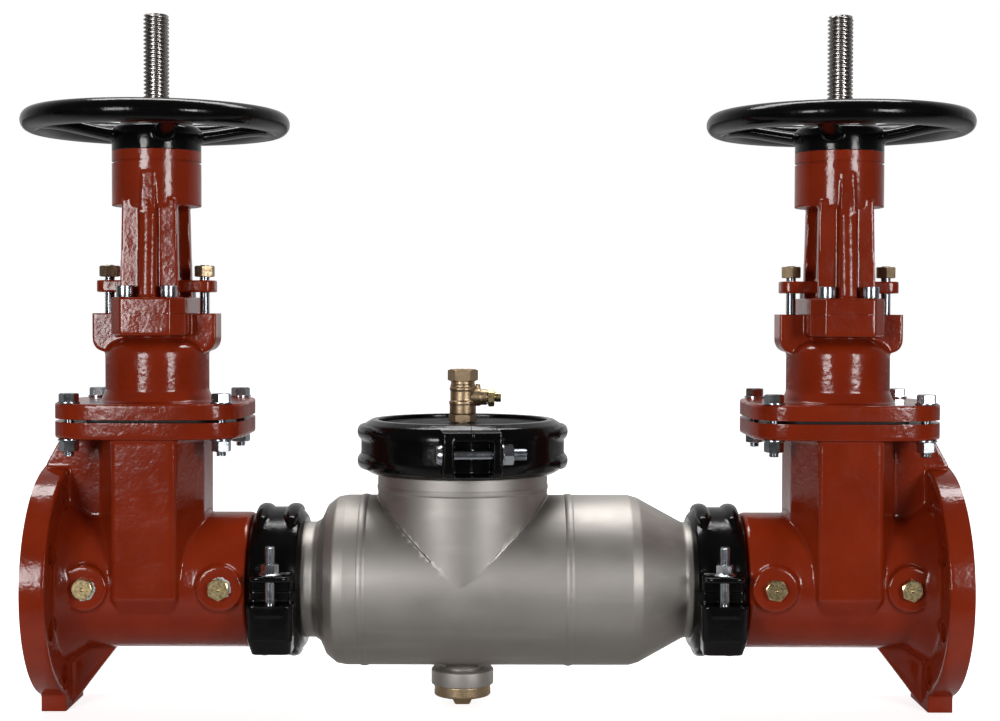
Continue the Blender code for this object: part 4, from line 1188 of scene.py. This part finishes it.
def check_cage():
    base_low, base_high = SEAT_THICK + 0.0003, SEAT_THICK + 0.006
    made = [tube(0.061, MODULE_RADIUS, base_low, base_high, ease=0.0005, along_x=True)]
    made.append(disc(0.0125, HUB_FACE, MODULE_LENGTH, 48, 0.001, along_x=True))
    for index in range(3):
        for low, half, inner, outer in (
            (base_high - 0.002, 0.006, 0.064, 0.07),
            (HUB_FACE + 0.002, 0.0045, 0.008, 0.067),
        ):
            bar = block((low, -half, inner), (MODULE_LENGTH, half, outer), 0.001)
            made.append(bent(bar, spin(math.pi / 6 + index * 2 * math.pi / 3, "X")))
    return carved(fused(*made), rod(0.0064, (0.06, 0, 0), (0.09, 0, 0), 32))


def check_seal():
    return tube(0.03, 0.052, SEAT_THICK + 0.0001, SEAT_THICK + 0.0034, ease=0.0005, along_x=True)


def check_poppet():
    front = SEAT_THICK + 0.0035
    profile = [
        (0, 0.086), (0.006, 0.086, 0.001), (0.006, POPPET_BACK + 0.004, 0.003),
        (0.012, POPPET_BACK, 0.002), (0.05, POPPET_BACK - 0.0005, 0.002),
        (0.054, POPPET_BACK - 0.0025, 0.001), (0.054, front, 0.0005), (0.0296, front),
        (0.0296, SEAT_THICK - 0.003, 0.001), (0, SEAT_THICK - 0.006),
    ]
    return turned(profile, along_x=True)


def check_spring():
    """A coil with closed ends that touch the poppet and the hub."""
    radius, winds, closing = 0.0165, 6.5, 0.0031
    low, high = POPPET_BACK + 0.0018, HUB_FACE - 0.0018
    line = []
    count = int(winds * 24)
    for index in range(count + 1):
        share = index / count
        x = low + (high - low) * min(max((share - 0.09) / 0.82, 0), 1)
        x += closing * (min(share / 0.15, 1) - 1 + max((share - 0.85) / 0.15, 0))
        line.append((min(max(x, low), high), *around(radius, 2 * math.pi * winds * share)))
    return wire(line, 0.0016)


def check_modules():
    places = {side: shift(x, 0, PIPE_Z) for side, x in zip(("first", "second"), CHECK_X)}
    for make, surface, group in (
        (check_seat, "acetal", ""),
        (check_cage, "acetal", ""),
        (check_seal, "rubber", "poppet"),
        (check_poppet, "acetal", "poppet"),
        (check_spring, "turned_steel", ""),
    ):
        made = pieces(make(), make.__name__, surface, places, make.__name__, group, crisp=30)
    for spring, joint, x in zip(made, ("first_check_lift", "second_check_lift"), CHECK_X):
        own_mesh(spring)


# Grooved couplings, made with the pipe along X and the bolts along Z


class Coupling:
    """Sizes of one coupling. gap is how far the bolt pads stand from the joint between the halves."""

    def __init__(self, pipe, groove, outer, bolt_y, bolt_radius, bolt_top, nut_seat, gap, pad):
        self.pipe, self.groove, self.outer = pipe, groove, outer
        self.bolt_y, self.bolt_radius, self.bolt_top = bolt_y, bolt_radius, bolt_top
        self.nut_seat, self.gap, self.pad = nut_seat, gap, pad
        self.room = pipe + 0.0115
        self.head = bolt_radius * 1.75
        self.head_seat = gap + 0.0105


SMALL = Coupling(SMALL_PIPE, SMALL_GROOVE, 0.076, 0.084, 0.0047, 0.044, 0.0165, 0.011, 0.019)
LARGE = Coupling(LARGE_PIPE, LARGE_GROOVE, 0.1045, 0.111, 0.0058, 0.05, 0.027, 0.018, 0.0215)


def coupling_casting(size, side):
    """One half as cast. side is 1 for the half with the nuts, -1 for the other."""
    outer = size.outer
    band = outer - 0.0038
    half = [
        (size.groove + 0.0015, 0.0265), (size.groove + 0.0085, 0.0265, 0.002),
        (outer - 0.007, 0.0222, 0.003), (band - 0.001, 0.017, 0.003), (band, 0.013, 0.003),
    ]
    parts = [turned(mirrored(half)[::-1], 120, ring=True, along_x=True)]
    parts += [hump(size, side, x) for x in (-0.0145, 0.0145)]
    for face in (-1, 1):
        parts += lug(size, side, face)
    return parts


def hump(size, side, x):
    """A raised shoulder over the middle of the half, pointed at both ends."""
    rings = []
    for step in range(29):
        share = step / 28
        angle = math.radians(-40 + 80 * share)
        near = min(share, 1 - share)
        wide = 0.002 + 0.005 * min(1.0, 4.5 * near)
        lift = size.outer - 0.0045 + 0.0045 * min(1.0, 7 * near)
        ring = []
        for turn in turns(12):
            z, y = around(lift - 0.004 + 0.004 * math.sin(turn), angle)
            ring.append((x + wide * math.cos(turn), y, side * z))
        rings.append(ring)
    return loft(rings)


def pad_outline(half, inner, outer, rounding):
    """A pad seen along the bolt, with its two outer corners rounded."""
    outline = [(-half, inner), (-half, outer, rounding), (half, outer, rounding), (half, inner)]
    return eased(outline, closed=True)


def lug(size, side, face):
    """The bolt pad beside the pipe: an ear for the nut or the head, and the wall behind the bolt."""
    y_in = size.room + 0.001
    y_out = size.bolt_y + 0.011
    wide, ear = size.pad, side * size.gap
    seat = size.nut_seat if side > 0 else -size.head_seat
    back = size.bolt_y - size.bolt_radius - 0.003
    parting = side * -0.001
    walls = [
        (-wide, wide, y_in - 0.004, y_out, ear, seat, 0.009),
        (-wide, wide, y_in, back, parting, ear, 0.0015),
    ]
    if size is LARGE:
        walls.append((0.0128, wide, y_in, y_out - 0.001, parting, seat, 0.0015))
        walls.append((-wide, -0.0195, y_in, y_out - 0.004, parting, seat, 0.0015))
    made = []
    for x_low, x_high, y_low, y_high, z_low, z_high, corner in walls:
        y_low, y_high = sorted((face * y_low, face * y_high))
        low, high = (0.0005, corner) if face > 0 else (corner, 0.0005)
        outline = [(x_low, y_low, low), (x_high, y_low, low), (x_high, y_high, high), (x_low, y_high, high)]
        made.append(plate(eased(outline, closed=True, steps=6), *sorted((z_low, z_high)), 0.0012))
    if size is SMALL and side < 0:
        foot = at(pad_outline(wide + 0.0035, y_in, y_out, 0.008), ear)
        foot += at(pad_outline(wide + 0.0025, y_in, y_out - 0.002, 0.008), -0.045)
        foot += at(pad_outline(wide, 0.05, 0.08, 0.008), -0.0605)
        made.append(hull([(x, face * y, z) for x, y, z in foot]))
    return made


def coupling_half(size, side):
    made = cast(*coupling_casting(size, side), voxel=0.0011)
    reach = 2 * size.outer
    land = size.groove + 0.0003
    key = mirrored([(0, 0.2), (land, 0.2), (land, 0.0178), (size.room, 0.015, 0.002)])
    waste = sorted((side * 0.0003, -side * reach))
    cutters = [turned(key, along_x=True), slab(*waste, reach)]
    foot = -0.026 if size is SMALL else -reach
    end = -size.head_seat - (0.0075 if size is SMALL else 0.03)
    for face in (-1, 1):
        spot = [(0, face * size.bolt_y)]
        cutters += drills(spot, size.bolt_radius + 0.0005, foot, reach, 40)
        if side < 0:
            cutters += drills(spot, size.head + 0.0004, end, -size.head_seat, 40)
    return machined(made, *cutters)


def coupling_bolt(size, face):
    """Track bolt: a round head below, a plain neck and a long thread."""
    seat = -size.head_seat - 0.0002
    neck, radius = size.nut_seat - 0.004, size.bolt_radius
    profile = [(0, 0.0002), (size.head, 0.0, 0.001), (radius + 0.002, -0.006, 0.003), (0, -0.007)]
    made = joined(
        moved(turned(profile, 48), z=seat),
        disc(radius, seat - 0.001, neck, 40),
        threaded(radius, neck - 0.001, size.bolt_top, 0.00175, 0.0009, steps=28, chamfer=0.0008),
    )
    return moved(made, 0, face * size.bolt_y)


def flange_nut(size, face):
    """Nut with a washer face, turned at an angle of its own."""
    low, radius = size.nut_seat + 0.0002, size.bolt_radius
    wide = radius + (0.0062 if size is SMALL else 0.0042)
    profile = [
        (radius, low, 0.0002), (wide, low, 0.0004), (wide, low + 0.0014, 0.0004),
        (radius + 0.0025, low + 0.0036), (radius, low + 0.0036),
    ]
    skirt = turned(profile, 48, ring=True)
    nut = hexagonal(radius * 3.1, low + 0.0015, low + 0.0108, hole=radius, chamfers=(False, True))
    return moved(bent(joined(skirt, nut), spin(0.35 + face * 0.2)), 0, face * size.bolt_y)


def coupling_gasket(size):
    inner, outer = size.pipe + 0.0001, size.room - 0.0003
    back = mirrored([(inner, -0.0145, 0.001), (outer, -0.0145, 0.002)])
    lips = mirrored([(inner, 0.006, 0.001), (size.pipe + 0.0045, 0.004, 0.002)])
    return turned(back + lips, ring=True, along_x=True)


def couplings():
    swap = Matrix.Rotation(math.pi, 4, Vector((1, 0, 1)))
    cover = TEE @ shift(0, 0, COVER_JOINT_Z) @ spin(math.radians(6)) @ swap
    ends = {"inlet": shift(-COUPLING_X, 0, PIPE_Z), "outlet": shift(COUPLING_X, 0, PIPE_Z)}
    for size, places in ((SMALL, ends), (LARGE, {"cover": cover})):
        for name, obj, surface, node, crisp in (
            ("coupling_half_a", coupling_half(size, 1), "black_enamel", True, 38),
            ("coupling_half_b", coupling_half(size, -1), "black_enamel", True, 38),
            ("coupling_gasket", coupling_gasket(size), "rubber", True, 38),
            ("coupling_bolt_front", coupling_bolt(size, -1), "zinc", True, 30),
            ("coupling_bolt_rear", coupling_bolt(size, 1), "zinc", True, 30),
            ("coupling_nut_front", flange_nut(size, -1), "zinc", False, 20),
            ("coupling_nut_rear", flange_nut(size, 1), "zinc", False, 20),
        ):
            pieces(obj, name, surface, places, name if node else None, crisp=crisp)


# Studio


def graded(tree, place, span, ends):
    """A value that changes from ends[0] to ends[1] as y goes from span[0] to span[1]."""
    y = node(tree, "ShaderNodeSeparateXYZ", {0: place}).outputs["Y"]
    values = {"Value": y, "From Min": span[0], "From Max": span[1], "To Min": ends[0], "To Max": ends[1]}
    return node(tree, "ShaderNodeMapRange", values).outputs["Result"]


def white_floor():
    """A floor that the camera sees as white, and that the part sees as darker in front."""
    bm = bmesh.new()
    bmesh.ops.create_grid(bm, x_segments=2, y_segments=2, size=12.0)
    floor = solid(bm)
    floor.name = "floor"
    workshop.objects.unlink(floor)
    bpy.context.scene.collection.objects.link(floor)
    white = (1.0, 1.0, 1.0, 1.0)
    made = Surface("floor", Base_Color=(0.88, 0.88, 0.88, 1.0), Roughness=0.9, Emission_Color=white)
    made.feed("Emission Strength", graded(made.tree, made.place, (-0.2, 1.4), (0.74, 1.0)))
    shade = graded(made.tree, made.place, (-0.45, -0.05), (0.06, 0.85))
    dark = made.add("ShaderNodeBsdfDiffuse", {"Color": shade}).outputs[0]
    seen = made.add("ShaderNodeLightPath").outputs["Is Camera Ray"]
    blend = made.add("ShaderNodeMixShader", {0: seen, 1: dark, 2: made.shader.outputs[0]})
    out = next(item for item in made.tree.nodes if item.type == "OUTPUT_MATERIAL")
    made.tree.links.new(blend.outputs[0], out.inputs["Surface"])
    floor.data.materials.append(made.material)


def white_world():
    """White to the camera, and dim in front of the part for everything else."""
    world = bpy.data.worlds.new("studio")
    bpy.context.scene.world = world
    world.use_nodes = True
    tree = world.node_tree
    back = tree.nodes["Background"]
    back.inputs["Color"].default_value = (1, 1, 1, 1)
    place = node(tree, "ShaderNodeTexCoord").outputs["Generated"]
    seen = node(tree, "ShaderNodeLightPath").outputs["Is Camera Ray"]
    power = graded(tree, place, (0.0, 0.8), (0.06, 0.55))
    pick = node(tree, "ShaderNodeMath", {0: power, 1: seen}, operation="MAXIMUM")
    tree.links.new(pick.outputs[0], back.inputs["Strength"])


def soft_box(name, place, width, height, power):
    light = bpy.data.lights.new(name, "AREA")
    light.shape = "RECTANGLE"
    light.size, light.size_y = width, height
    light.energy = power
    lamp = bpy.data.objects.new(name, light)
    bpy.context.scene.collection.objects.link(lamp)
    lamp.location = place
    aim = Vector((0, 0, 0.3)) - Vector(place)
    lamp.rotation_euler = aim.to_track_quat("-Z", "Y").to_euler()


def level_camera():
    """A camera level with the pipework."""
    camera = bpy.data.cameras.new("camera")
    camera.sensor_width = 36.0
    camera.lens = 61.6
    camera.clip_start = 0.05
    eye = bpy.data.objects.new("camera", camera)
    bpy.context.scene.collection.objects.link(eye)
    eye.location = (0.0, -1.7, PIPE_Z + 0.2726)
    yaw, pitch, roll = 0.0013, 0.0319, -0.002
    ahead = Matrix.Rotation(-yaw, 3, "Z") @ Matrix.Rotation(math.pi / 2 - pitch, 3, "X")
    eye.rotation_euler = (ahead @ Matrix.Rotation(-roll, 3, "Z")).to_euler()
    bpy.context.scene.camera = eye


gate_valves()
centre_pieces()
check_modules()
couplings()
white_floor()
white_world()
soft_box("left_box", (-1.25, -2.35, 0.6), 0.75, 0.75, 28)
soft_box("right_box", (1.55, -2.2, 0.6), 0.65, 0.75, 26)
soft_box("top_box", (0, 0.45, 2.1), 2.2, 0.5, 42)
level_camera()
bpy.context.scene.view_settings.view_transform = "Standard"
for leftover in list(workshop.objects):
    bpy.data.objects.remove(leftover, do_unlink=True)
bpy.data.collections.remove(workshop)
